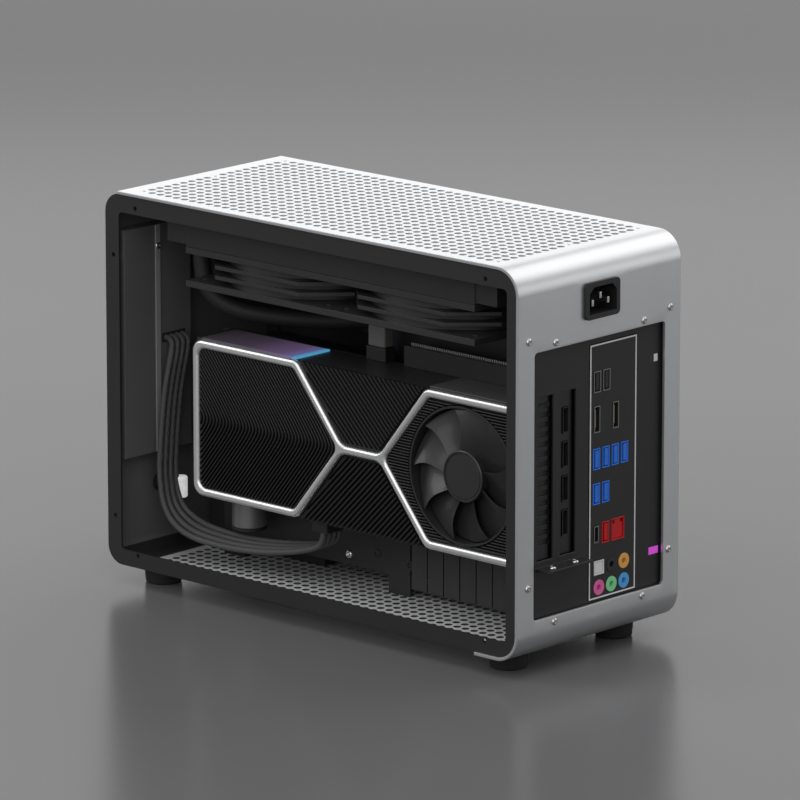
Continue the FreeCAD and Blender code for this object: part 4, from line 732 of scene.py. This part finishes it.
def fan_fins(mesh, polygon, way, pitch, wide, centre, radius):
    """Rounded ridges side by side over a convex polygon, cut round the fan's well."""
    way, centre = Vector(way).normalized(), Vector(centre)
    across = Vector((-way.y, way.x))
    spans = [across.dot(Vector(corner)) for corner in polygon]
    for number in range(math.ceil(min(spans) / pitch), math.floor(max(spans) / pitch) + 1):
        strips = {1: [], 2: []}
        for shift, deep in FIN_SECTION:
            start = across * (number * pitch + shift * wide)
            span = line_span(polygon, start, way)
            if not span:
                strips = {}
                break
            halves = [span]
            offset = across.dot(start - centre)
            if abs(offset) < radius:
                chord = math.sqrt(radius * radius - offset * offset)
                middle = way.dot(centre - start)
                halves = [(span[0], min(span[1], middle - chord)), (max(span[0], middle + chord), span[1])]
            for key, (low, high) in zip((1, 2), halves):
                strips[key].append((start + way * low, start + way * high, deep, high - low))
        for lines in strips.values():
            if len(lines) < len(FIN_SECTION) or min(line[3] for line in lines) < 0.4:
                continue
            rows = [[mesh.verts.new(card_spot(*line[side], line[2])) for line in lines] for side in (0, 1)]
            for step in range(len(lines) - 1):
                mesh.faces.new([rows[0][step], rows[0][step + 1], rows[1][step + 1], rows[1][step]])
            mesh.faces.new(rows[0])
            mesh.faces.new(rows[1][::-1])


def add_fin_base(mesh, loops):
    """Flat plate under the fins, with holes."""
    points = [point for loop in loops for point in loop]
    front, back = [[mesh.verts.new(card_spot(*point, deep)) for point in points] for deep in FIN_BASE]
    for triple in fill(loops):
        mesh.faces.new([front[i] for i in triple])
        mesh.faces.new([back[i] for i in reversed(triple)])
    start = 0
    for loop in loops:
        for step in range(len(loop)):
            first, second = start + step, start + (step + 1) % len(loop)
            mesh.faces.new([front[first], front[second], back[second], back[first]])
        start += len(loop)


def card_faces():
    """Finned faces between the card's bars."""
    inset = BAR + 0.15
    run = LOOP_SHOULDER - LOOP_POINT
    slant = math.hypot(run, CARD_HALF)
    shift = inset * slant / CARD_HALF
    flat = inset / math.tan((math.pi - math.atan2(CARD_HALF, run)) / 2)
    top = CARD_HALF - inset
    front, rear = -CARD_FRONT_END + inset, CARD_REAR_END - inset
    upper_left = [(front, top), (-LOOP_SHOULDER - flat, top), (-LOOP_POINT - shift, 0), (front, 0)]
    lower_left = [(a, -b) for a, b in upper_left]
    upper_fan = [(rear, top), (LOOP_SHOULDER + flat, top), (LOOP_POINT + shift, 0), (rear, 0)]
    low = BAR / 2 + 0.15
    foot = LOOP_POINT + run * low / CARD_HALF - 0.2
    notch = [(-LOOP_SHOULDER + 0.2, CARD_HALF), (LOOP_SHOULDER - 0.2, CARD_HALF), (foot, low), (-foot, low)]
    edge = NOTCH_BORDER * slant / CARD_HALF
    heel = foot - edge + run * NOTCH_BORDER / CARD_HALF
    ribbed = [(edge - LOOP_SHOULDER, CARD_HALF), (LOOP_SHOULDER - edge, CARD_HALF),
              (heel, low + NOTCH_BORDER), (-heel, low + NOTCH_BORDER)]
    arrow = upper_left[:3] + lower_left[1::-1]
    left = bmesh.new()
    chevron_fins(left, arrow, run / CARD_HALF, 2.8, 1.7)
    add_fin_base(left, [arrow])
    piece("card_fins_left", closed(left), CARD_FINS, stands_for=("gpu_fins_left",))
    for name, side in (("upper", 1), ("lower", -1)):
        fins = bmesh.new()
        straight_fins(fins, [(a, b * side) for a, b in ribbed], (1, -side), 2.8, 1.8)
        add_fin_base(fins, [[(a, b * side) for a, b in notch]])
        piece(f"card_fins_{name}", closed(fins), CARD_FINS, stands_for=(f"gpu_fins_{name}",))
    around = bmesh.new()
    whole = upper_fan[:3] + [(a, -b) for a, b in upper_fan[1::-1]]
    well = ((FAN_OFFSET, 0.0), FAN_WELL + 0.2)
    fan_fins(around, whole, (1, 0), 1.85, 1.2, *well)
    add_fin_base(around, [whole, round_loop(*well, 64)])
    piece("card_fins_round_fan", closed(around), CARD_FINS, stands_for=("gpu_fins_fan",))


def card_frame():
    """Crossed bars with a rounded section, filleted where the middle bar meets the loops."""
    mesh = own_shape("gpu_frame")
    middle = card_spot(0, 0, 0)
    flats = [face for face in mesh.faces if abs(face.normal.y) > 0.99]
    bmesh.ops.delete(mesh, geom=flats, context="FACES_ONLY")
    loose = [edge for edge in mesh.edges if not edge.link_faces]
    bmesh.ops.delete(mesh, geom=loose, context="EDGES")
    across, beside = [], []
    for edge in mesh.edges:
        if abs((edge.verts[1].co - edge.verts[0].co).normalized().y) > 0.99:
            across.append(edge)
    for edge in across:
        along, up = [abs(part) / MM for part in (edge.verts[0].co - middle).xz]
        if LOOP_POINT < along < LOOP_POINT + BAR and BAR / 2 + 0.1 < up < 1.4 * BAR:
            beside.append(edge)
    corners = [edge for edge in across if edge.calc_face_angle() > math.radians(40)]
    bmesh.ops.dissolve_edges(mesh, edges=beside, use_verts=True)
    bevel(mesh, corners, CORNER_ROUND, 5, False)
    rims = [edge for edge in mesh.edges if edge.is_boundary]
    depth = sum(edge.verts[0].co.y for edge in rims) / len(rims)
    for sign in (-1, 1):
        rim = [edge for edge in rims if (edge.verts[0].co.y - depth) * sign > 0]
        bmesh.ops.triangle_fill(mesh, use_beauty=True, use_dissolve=False, edges=rim, normal=(0, sign, 0))
    closed(mesh)
    bmesh.ops.dissolve_limit(mesh, angle_limit=math.radians(0.5), verts=mesh.verts, edges=mesh.edges)
    soften(mesh, BAR_ROUND, 5, clamp=False)
    piece("gpu_frame_edged", mesh, CARD_SILVER, stands_for=("gpu_frame",))


def card_top():
    """Lit panel behind the upper bar, smooth cover over the fan end, and the riser's row of contacts."""
    low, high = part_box("gpu_light")
    panel = [((low.x, (OPEN_SIDE + LIGHT_NEAR) * MM, low.z), (high.x + LIGHT_REACH * MM, high.y, high.z))]
    blocks("gpu_light_edged", panel, GLOW, 0.4, stands_for=("gpu_light",))
    cover = [(spot(END_COVER_FRONT, CARD_NEAR + END_COVER_INSET, END_COVER_TOP + END_COVER_THICK),
              spot(5.6, 53.2, END_COVER_TOP))]
    blocks("card_end_cover", cover, CARD_END, 0.35)
    low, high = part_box("riser_pins")
    count = round((high.x - low.x) / MM / CONTACT_PITCH)
    starts = [low.x + (high.x - low.x) * (number + 0.25) / count for number in range(count)]
    contacts = [((x, low.y, low.z), (x + CONTACT_WIDE * MM, high.y, high.z)) for x in starts]
    blocks("riser_pins_edged", contacts, PIN_TIN, stands_for=("riser_pins",))


def card_fan():
    """Nine wide blades on a flat hub: each falls back clockwise from its front edge, under its neighbour."""
    low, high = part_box("gpu_fan")
    centre = Vector(((low.x + high.x) / 2, low.y, (low.z + high.z) / 2))
    rotor = bmesh.new()
    radial, chord = 9, 9
    for blade in range(BLADES):
        sides = []
        for face in (0.0, BLADE_THICK):
            rows = []
            for i in range(radial + 1):
                share = i / radial
                reach = BLADE_ROOT + (BLADE_TIP - BLADE_ROOT) * share
                sweep = math.radians(20 - 6 * math.sin(math.pi * share))
                width = math.radians(53 - 3 * share)
                row = []
                for j in range(chord + 1):
                    turn = j / chord
                    angle = math.tau * blade / BLADES + sweep - width * turn
                    deep = 0.6 + BLADE_DEEP * (turn + 0.16 * math.sin(math.pi * turn)) + face
                    place = Vector((math.cos(angle) * reach, deep, math.sin(angle) * reach))
                    row.append(rotor.verts.new(centre + place * MM))
                rows.append(row)
            sides.append(rows)
        for rows in sides:
            for i in range(radial):
                for j in range(chord):
                    first, second = rows[i], rows[i + 1]
                    rotor.faces.new([first[j], first[j + 1], second[j + 1], second[j]])
        front, back = sides
        edge = [(i, 0) for i in range(radial)] + [(radial, j) for j in range(chord)]
        edge += [(i, chord) for i in range(radial, 0, -1)] + [(0, j) for j in range(chord, 0, -1)]
        for (a, b), (c, d) in zip(edge, edge[1:] + edge[:1]):
            rotor.faces.new([front[a][b], front[c][d], back[c][d], back[a][b]])
    soften(closed(rotor), 0.3)
    add_turned(rotor, HUB, centre, (0, 1, 0), 64)
    add_turned(rotor, SHAFT, centre, (0, 1, 0), 24)
    piece("card_fan_rotor", closed(rotor), CARD_FAN, "card_fan", ("gpu_fan",), 40)


# Leads and hoses

HOSE_ROUTE = [(293, 44, 27.5, (0, 1, 0)), (293, 44, 45, (0, 1, 0)), (290, 46, 61, (0, 1, 0)),
              (278, 52, 72, (-0.45, 0.89, 0)), (256, 68, 76, (-0.62, 0.78, 0)), (232, 88, 78, (-0.6, 0.8, 0)),
              (206, 106, 81, (-0.4, 0.7, -0.6)), (180, 112, 90, (0, 0.3, -0.95)), (152, 111, 104, (0, 0, -1)),
              (132, 108.5, 114, (0, 0, -1)), (117, 108.5, 114, (0, 0, -1))]
LEAD_ROUTE = [(331, 49.2, 98, (0, 1, 0)), (324.5, 49.2, 98, (0, 1, 0)), (321.5, 43.5, 109, (0, 1, 0)),
              (322.5, 39, 130, (0, 1, 0)), (323.5, 36.8, 156, (0, 1, 0)), (323.5, 34.6, 183, (0, 1, 0)),
              (318, 33, 204, (-0.1, 1, 0.25)), (300, 32.6, 214.5, (0, 1, 0.35)),
              (272, 33.2, 217, (0, 1, 0.3)), (244, 35, 216.5, (0, 1, 0.25)),
              (219, 37.4, 213.5, (0, 1, 0.2)), (199, 39.2, 209.5, (0, 1, 0.1)),
              (187, 40, 204.5, (0, 1, 0)), (187, 40, 196.1, (0, 1, 0))]
LEAD_LENGTHS = (0.2587, 0.2572, 0.2558, 0.2544)
LEAD_RADIUS, LEAD_PITCH, HOSE_RADIUS, HOSE_PITCH = 1.9, 4.7, 5.5, 17


def strand(name, route, aside, radius, finish, node):
    """One smooth cable along a route, shifted beside its neighbours."""
    curve = bpy.data.curves.new(name, "CURVE")
    curve.dimensions = "3D"
    curve.resolution_u = 10
    curve.bevel_depth = radius * MM
    curve.bevel_resolution = 5
    curve.use_fill_caps = True
    spline = curve.splines.new("NURBS")
    points = [spot(*place[:3]) + Vector(place[3]) * aside * MM for place in route]
    spline.points.add(len(points) - 1)
    for control, place in zip(spline.points, points):
        control.co = (*place, 1)
    spline.order_u = 3
    spline.use_endpoint_u = True
    curve.materials.append(finish)
    item = bpy.data.objects.new(name, curve)
    scene.collection.objects.link(item)
    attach(item, "case")
    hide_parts(node)
    return item, points[0]


def cables():
    """Four woven leads from the front cover to the card, and two hoses from the radiator to the pump."""
    for number, length in enumerate(LEAD_LENGTHS):
        aside = (number - 1.5) * LEAD_PITCH
        lead, start = strand(f"card_lead_{number + 1}", LEAD_ROUTE, aside, LEAD_RADIUS, SLEEVE,
                             f"gpu_lead_{number + 1}")
    for number, name in enumerate(("upper", "lower")):
        aside = (number - 0.5) * HOSE_PITCH
        strand(f"coolant_hose_{name}", HOSE_ROUTE, aside, HOSE_RADIUS, HOSE, f"hose_{name}")


# Ports

PORTS = [("dark_ports", PORT_DARK, "port_dark"), ("blue_ports", PORT_BLUE, "port_blue"),
         ("red_ports", PORT_RED, "port_red"), ("optical_port", PORT_WHITE, "port_white"),
         ("jack_orange", JACK_ORANGE, "jack_orange"), ("jack_pink", JACK_PINK, "jack_pink"),
         ("jack_green", JACK_GREEN, "jack_green"), ("jack_blue", JACK_BLUE, "port_blue")]
COLUMNS = [74.5 + 8.5 * number for number in range(4)]
USB_DARK_TOP, DISPLAY_TOP, USB_BLUE_TOPS, USB_RED_TOP = 78.7, 101.8, (126.4, 148.0), 173.0


def framed(mesh, across, top, wide, tall, bar, deep):
    """Thin upright frame in the plane of the rear wall, between two depths."""
    left, right, upper, lower = across - wide / 2, across + wide / 2, top - tall / 2, top + tall / 2
    for first, second in (((left, upper), (right, upper + bar)), ((left, lower - bar), (right, lower)),
                          ((left, upper + bar), (left + bar, lower - bar)),
                          ((right - bar, upper + bar), (right, lower - bar))):
        add_box(mesh, spot(deep[0], *first), spot(deep[1], *second))


def ports():
    """Port shells with their tongues and contacts, and the outline printed round them."""
    for node, finish, slot in PORTS:
        edged(node, finish, 0.18)
    tongues = {"dark": [(across, USB_DARK_TOP) for across in COLUMNS[:2]], "red": [(COLUMNS[1], USB_RED_TOP)],
               "blue": [(across, USB_BLUE_TOPS[0]) for across in COLUMNS]
               + [(across, USB_BLUE_TOPS[1]) for across in COLUMNS[:2]]}
    contacts = bmesh.new()
    for (name, places), finish in zip(tongues.items(), (PORT_DARK, PORT_RED, PORT_BLUE)):
        tongue = bmesh.new()
        for across, top in places:
            add_box(tongue, spot(7.9, across - 0.9, top + 5.3), spot(1.25, across + 2.35, top - 5.3))
            for step in range(4):
                level = top - 3.6 + 2.4 * step
                add_box(contacts, spot(7.2, across - 1.1, level + 0.4), spot(2.0, across - 0.85, level - 0.4))
        soften(tongue, 0.15)
        piece(f"usb_tongues_{name}", tongue, finish)
    for across in COLUMNS[:3:2]:
        low, high = DISPLAY_TOP + 5.5, DISPLAY_TOP - 5.5
        add_box(contacts, spot(7.9, across - 0.6, low), spot(2.4, across + 0.6, high))
    piece("port_contacts", contacts, GOLD)
    outline = bmesh.new()
    framed(outline, 89.25, 134.35, 42.1, 157.5, 0.9, (1.2, 1.05))
    piece("port_outline", outline, PORT_WHITE)


def port_trim():
    """Bright shells of the dark ports, the network jack's insert, the optical port's shutter."""
    shells = bmesh.new()
    rims = [(COLUMNS[0], USB_DARK_TOP, 6.4, 13.2), (COLUMNS[1], USB_DARK_TOP, 6.4, 13.2),
            (COLUMNS[0], DISPLAY_TOP, 5.4, 16.5), (COLUMNS[2], DISPLAY_TOP, 5.4, 16.5),
            (COLUMNS[0], USB_RED_TOP, 4.4, 10.4)]
    for across, top, wide, tall in rims:
        framed(shells, across, top, wide, tall, 0.65, (6.0, 0.8))
    piece("port_shells", shells, PORT_SHELL)
    insert = [(spot(7.9, 89.6, 178.9), spot(1.6, 99.0, 169.5)),
              (spot(7.9, 91.6, 169.5), spot(1.6, 97.0, 167.2))]
    blocks("network_insert", insert, PORT_RED, 0.2)
    shutter = [(spot(4.0, 73.8, 197.6), spot(1.2, 80.8, 190.6))]
    blocks("optical_shutter", shutter, PORT_WHITE, 0.5, 3)


GRILLE_NEAR, GRILLE_FAR, GRILLE_TOP, GRILLE_LOW = 22.2, 35.1, 97.0, 176.0
GRILLE_BARS, GRILLE_ROWS = 7, 32


def rear_details():
    """Bracket grille, port shells on the card, and the two small openings at the plate's edge."""
    bars = []
    for step in range(GRILLE_BARS):
        across = GRILLE_NEAR + (GRILLE_FAR - GRILLE_NEAR) * step / (GRILLE_BARS - 1)
        bars.append((spot(5.6, across - 0.25, GRILLE_LOW), spot(5.2, across + 0.25, GRILLE_TOP)))
    for step in range(GRILLE_ROWS + 1):
        level = GRILLE_TOP + (GRILLE_LOW - GRILLE_TOP) * step / GRILLE_ROWS
        bars.append((spot(5.7, GRILLE_NEAR, level + 0.3), spot(5.15, GRILLE_FAR, level - 0.3)))
    blocks("bracket_grille", bars, CARD_BLACK)
    shells = bmesh.new()
    for number in range(4):
        framed(shells, BRACKET_SCREW_NEAR + SLOT_PITCH, 98 + 21 * number, 5.5, 16.0, 0.6, (8.0, 3.3))
    piece("card_port_shells", shells, STEEL)
    slots = [(spot(1.5, 121.6, 75.6), spot(1.42, 130.0, 70.2)),
             (spot(1.5, 120.6, 195.7), spot(1.42, 132.2, 190.3))]
    blocks("edge_slots", slots, PORT_DARK)
    blocks("edge_tab", [(spot(1.42, 126.4, 75.2), spot(1.0, 129.6, 70.6))], PORT_WHITE, 0.15)
    blocks("edge_light", [(spot(1.42, 123.2, 195.3), spot(1.3, 131.8, 190.7))], PINK_GLOW, 0.04)


POST = (262, 45, 187.0)
POST_OUTLINE = [(0, 0), (10.2, 0), (10.8, 0.6), (10.8, 20.2), (10.2, 20.8), (0, 20.8)]
COLLAR = [(0, 20.8), (10.8, 20.8), (11.2, 21.2), (11.2, 22.2), (10.8, 22.6), (0, 22.6)]
PIN = (321.4, 45, 193)
PIN_OUTLINE = [(0, -6.8), (3.2, -6.8), (3.9, -6.4), (4.1, -5.6), (4.1, 5.6), (3.9, 6.4), (3.2, 6.8), (0, 6.8)]
PIN_STEM = [(0, 0), (5.6, 0), (5.6, 1.2), (4.2, 1.6), (4.2, 13.6), (3.6, 14.4), (2.4, 16.0), (0, 16.0)]
PIN_STEM_FOOT = (340.8, 45, 193)
FLANGE_DEEP, FLANGE_THICK, FLANGE_GAP = 9.0, 1.2, 0.5
BOSS = [(3.2, 0), (3.0, 0.5), (2.4, 0.6), (1.9, 0.5), (1.7, -0.4), (0, -0.4)]
TRAY_NEAR = 61.5
TRAY_SCREW, COVER_SCREW = (191.9, TRAY_NEAR, 216.9), (330.2, 35, 38)
TRAY_BOSSES = [(168.6, TRAY_NEAR, 212.6), (140.8, TRAY_NEAR, 215.1)]
DOWN = (0, 0, -1)


def inside_details():
    """Post under the card, guide pin, floor flange, riser latch, and the tray's bosses and screws."""
    post, pin, dark = bmesh.new(), bmesh.new(), bmesh.new()
    add_turned(post, POST_OUTLINE, spot(*POST), DOWN, 48)
    piece("card_post", closed(post), POST_STEEL, angle=38)
    # The guide pin's glow is painted light standing in for light falling on it.
    add_turned(pin, PIN_OUTLINE, spot(*PIN), (0, 0, 1), 40)
    piece("front_wall_knob", closed(pin), GUIDE_PIN_PAINTED_GLOW, angle=38)
    add_turned(dark, COLLAR, spot(*POST), DOWN, 48)
    add_turned(dark, PIN_STEM, spot(*PIN_STEM_FOOT), (1, 0, 0), 40)
    piece("post_collar_and_pin_stem", closed(dark), INLET, angle=38)
    low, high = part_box("floor_panel")
    flange = [((low.x, low.y + FLANGE_GAP * MM, high.z),
               (low.x + FLANGE_DEEP * MM, high.y - FLANGE_GAP * MM, high.z + FLANGE_THICK * MM))]
    blocks("floor_front_flange", flange, BLACK, 0.3)
    blocks("riser_latch", [(spot(168, 52.4, 79), spot(154, 60.4, 65.5))], LATCH, 1.2, 4)
    # Black lower part of the latch: painted shade below its grey upper block.
    blocks("riser_latch_lower_painted_shade", [(spot(169, 52, 87.7), spot(153, 60.8, 79))], INLET, 0.5, 3)
    bosses, heads = bmesh.new(), bmesh.new()
    for place in TRAY_BOSSES:
        add_turned(bosses, BOSS, spot(*place), (0, -1, 0), 28)
    piece("tray_bosses", bosses, BLACK)
    add_screw(heads, spot(*TRAY_SCREW), (0, -1, 0), 2.8, 1.6)
    add_screw(heads, spot(*COVER_SCREW), (1, 0, 0), 2.2, 0.9)
    piece("tray_and_cover_screws", heads, NICKEL)


SIDE_TAPS = [(316.5, 7.3), (25.2, 7.3), (316.5, 228.8), (25.2, 228.8), (335.8, 39.1), (335.8, 206.0)]
SIDE_CORNERS = ((12.0, 330.5, 12.0, 90), (12.0, 330.5, 225.0, 0),
                (15.3, 15.3, 221.7, 270), (15.3, 15.3, 15.3, 180))
SIDE_THICK = 1.2


def far_panel():
    """Plain side panel with its countersunk screws."""
    loop = []
    for radius, rear, top, start in SIDE_CORNERS:
        for step in range(9):
            angle = math.radians(start - 90 * step / 8)
            loop.append((rear + radius * math.cos(angle), top - radius * math.sin(angle)))
    loops = [loop] + [round_loop(tap, 2.7, 20) for tap in SIDE_TAPS]
    plate = Plate()
    plate.sheet(loops, lambda rear, top: (rear, CASE_WIDTH, top), (0, -SIDE_THICK, 0),
                lambda index, point: index == 0)
    finishes = (SILVER, CUT_EDGE, BLACK)
    piece("far_side_sheet", plate.mesh(0.35, 2), finishes, stands_for=("far_side_panel",))
    heads = bmesh.new()
    for rear, top in SIDE_TAPS:
        add_flush_screw(heads, SIDE_SCREW, spot(rear, CASE_WIDTH, top), (0, 1, 0))
    piece("far_side_screws", heads, NICKEL)


def front_wall():
    """Front panel, black outside, with a paler painted inside."""
    low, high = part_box("front_panel")
    mesh = own_shape("front_panel")
    soften(mesh, 0.3)
    for face in mesh.faces:
        face.material_index = 1 if face.normal.x > 0.9 and face.calc_center_median().x < low.x + 3 * MM else 0
    piece("front_panel_wall", mesh, (BLACK, COVER), stands_for=("front_panel",))


def cable_cover():
    """Cable cover on the front wall, with a painted highlight: the raised seam in a paler finish."""
    low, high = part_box("front_cable_cover")
    mesh = own_shape("front_cable_cover")
    soften(mesh, 0.5, 3)
    for face in mesh.faces:
        # Faces on the raised seam take the paler finish, a painted highlight.
        face.material_index = 1 if face.calc_center_median().x > high.x - 0.7 * MM else 0
    finishes = (COVER, COVER_SEAM_HIGHLIGHT)
    piece("front_cable_cover_edged", mesh, finishes, stands_for=("front_cable_cover",))


INLET_ROUND = 3.0


def inlet():
    """Mains inlet with rounded flange corners."""
    low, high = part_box("mains_inlet")
    mesh = own_shape("mains_inlet")
    corners = []
    for edge in mesh.edges:
        ends = [vert.co for vert in edge.verts]
        at_side = all(min(abs(end.y - low.y), abs(end.y - high.y)) < 0.1 * MM for end in ends)
        at_level = all(min(abs(end.z - low.z), abs(end.z - high.z)) < 0.1 * MM for end in ends)
        if at_side and at_level and abs(ends[0].x - ends[1].x) > MM:
            corners.append(edge)
    bevel(mesh, corners, INLET_ROUND, 6, False)
    soften(mesh, 0.35, 2)
    piece("mains_inlet_moulded", mesh, INLET, stands_for=("mains_inlet",))


# Plain pieces whose own shape is right: broken edges and a finish

EDGED = [
    ("side_frame_near", BLACK, "black_steel", 0.4), ("side_frame_far", BLACK, "black_steel", 0.4),
    ("roof_frame", BLACK, "black_steel", 0.2),
    ("rear_plate", BLACK, "black_steel", 0.3), ("inlet_pins", NICKEL, "screw_nickel", 0.4),
    ("lead_grommet", RUBBER, "foot_rubber", 0.3),
    ("button_sleeve", INLET, "sleeve_plastic", 0.25), ("board_tray", BLACK, "black_steel", 0.25),
    ("mainboard", BOARD, "board_black", 0.15), ("memory_modules", BOARD, "board_black", 0.5),
    ("io_plate", BLACK, "black_steel", 0.1),
    ("gpu_core", CARD_BLACK, "card_black", 0.4), ("gpu_fan_ring", CARD_BLACK, "card_black", 0.4),
    ("gpu_backplate", CARD_BLACK, "card_black", 0.6), ("gpu_bracket", STEEL, "bracket_steel", 0.15),
    ("gpu_ports", PORT_DARK, "port_dark", 0.15),
    ("gpu_plug", INLET, "plug_black", 0.5), ("riser_slot", INLET, "plug_black", 0.4),
    ("riser_ribbon", RIBBON, "ribbon_black", 0.1),
    ("radiator", RADIATOR, "radiator_black", 0.6), ("front_fan_frame", FAN_BLACK, "fan_black", 0.4),
    ("rear_fan_frame", FAN_BLACK, "fan_black", 0.4), ("pump", INLET, "pump_black", 1.5),
    ("power_supply", SUPPLY, "supply_black", 0.8),
]

for node, finish, slot, width in EDGED:
    edged(node, finish, width, 3 if width >= 0.5 else 2)
edged("front_fan_rotor", FAN_BLACK, 0.2, 2, "front_rotor")
edged("rear_fan_rotor", FAN_BLACK, 0.2, 2, "rear_rotor")
folded_shell()
punched_floor()
screws()
feet()
button()
card_frame()
card_faces()
card_top()
card_fan()
ports()
port_trim()
rear_details()
inside_details()
far_panel()
front_wall()
cable_cover()
inlet()
cables()


# Stage, light and camera

STAGE_HALF = 6.0
STAGE_NEAR_PAINTED_DARK, STAGE_FAR_PAINTED_PALE = (0.146, 0.146, 0.148), (0.215, 0.215, 0.218)
WORLD_GREY = (0.30, 0.30, 0.305, 1)


def stage():
    """Floor that runs into a plain backdrop, its colour painted darker near the case and paler away from it.
    """
    mesh = bpy.data.meshes.new("stage_floor")
    corners = [(x * STAGE_HALF, y * STAGE_HALF, 0) for x, y in ((-1, -1), (1, -1), (1, 1), (-1, 1))]
    mesh.from_pydata(corners, [], [(0, 1, 2, 3)])
    floor = bpy.data.objects.new("stage_floor", mesh)
    scene.collection.objects.link(floor)
    finish = Finish("stage_grey_painted_falloff")
    cloud = finish.noise(3.0)
    x, y = finish.along("X"), finish.along("Y")
    # Painted light and shade: the floor's colour grows paler with distance from the case.
    painted_falloff_share = (x * x + y * y) * 0.22
    finish.wear(Base_Color=finish.mix(painted_falloff_share, STAGE_NEAR_PAINTED_DARK, STAGE_FAR_PAINTED_PALE), Roughness=0.2 + cloud * 0.04)
    finish.wear(Specular_IOR_Level=0.045)
    mesh.materials.append(finish.material)
    world = bpy.data.worlds.new("studio")
    scene.world = world
    world.use_nodes = True
    sky = world.node_tree.nodes["Background"].inputs
    sky["Color"].default_value = WORLD_GREY
    sky["Strength"].default_value = 1.0


def lamp(name, place, aim, wide, tall, power):
    """Rectangular softbox."""
    data = bpy.data.lights.new(name, "AREA")
    data.shape = "RECTANGLE"
    data.size, data.size_y, data.energy = wide, tall, power
    item = bpy.data.objects.new(name, data)
    item.location = place
    item.rotation_euler = (Vector(aim) - Vector(place)).to_track_quat("-Z", "Y").to_euler()
    scene.collection.objects.link(item)


stage()
lamp("softbox_above", (0.1, -0.3, 2.0), (0, 0, 0.2), 1.8, 1.8, 11)
lamp("softbox_behind", (-1.7, 1.85, 1.0), (0, 0, 0.2), 2.6, 1.5, 16)
lamp("softbox_over_back", (0.35, 1.9, 1.7), (0, 0, 0.2), 2.0, 1.5, 15)
lamp("softbox_left", (-1.7, -1.2, 1.35), (0, 0, 0.12), 1.0, 2.0, 12)
lamp("softbox_front", (1.0, -2.65, 1.5), (0, 0, 0.12), 4.4, 2.6, 40)
lamp("softbox_right", (1.7, 1.75, 0.5), (0.1, 0, 0.12), 1.5, 0.9, 3.8)

view = bpy.data.cameras.new("photo_view")
view.sensor_width = 36.0
view.lens = 321.98
view.clip_end = 50.0
camera = bpy.data.objects.new("photo_view", view)
right, back = Vector((0.73462, 0.67848, 0.00037)), Vector((0.6594, -0.7140, 0.2354))
up = back.cross(right)
axes = Matrix((right, up, back)).transposed()
camera.matrix_world = Matrix.Translation((2.9006, -3.1344, 1.1675)) @ axes.to_4x4()
scene.collection.objects.link(camera)
scene.camera = camera
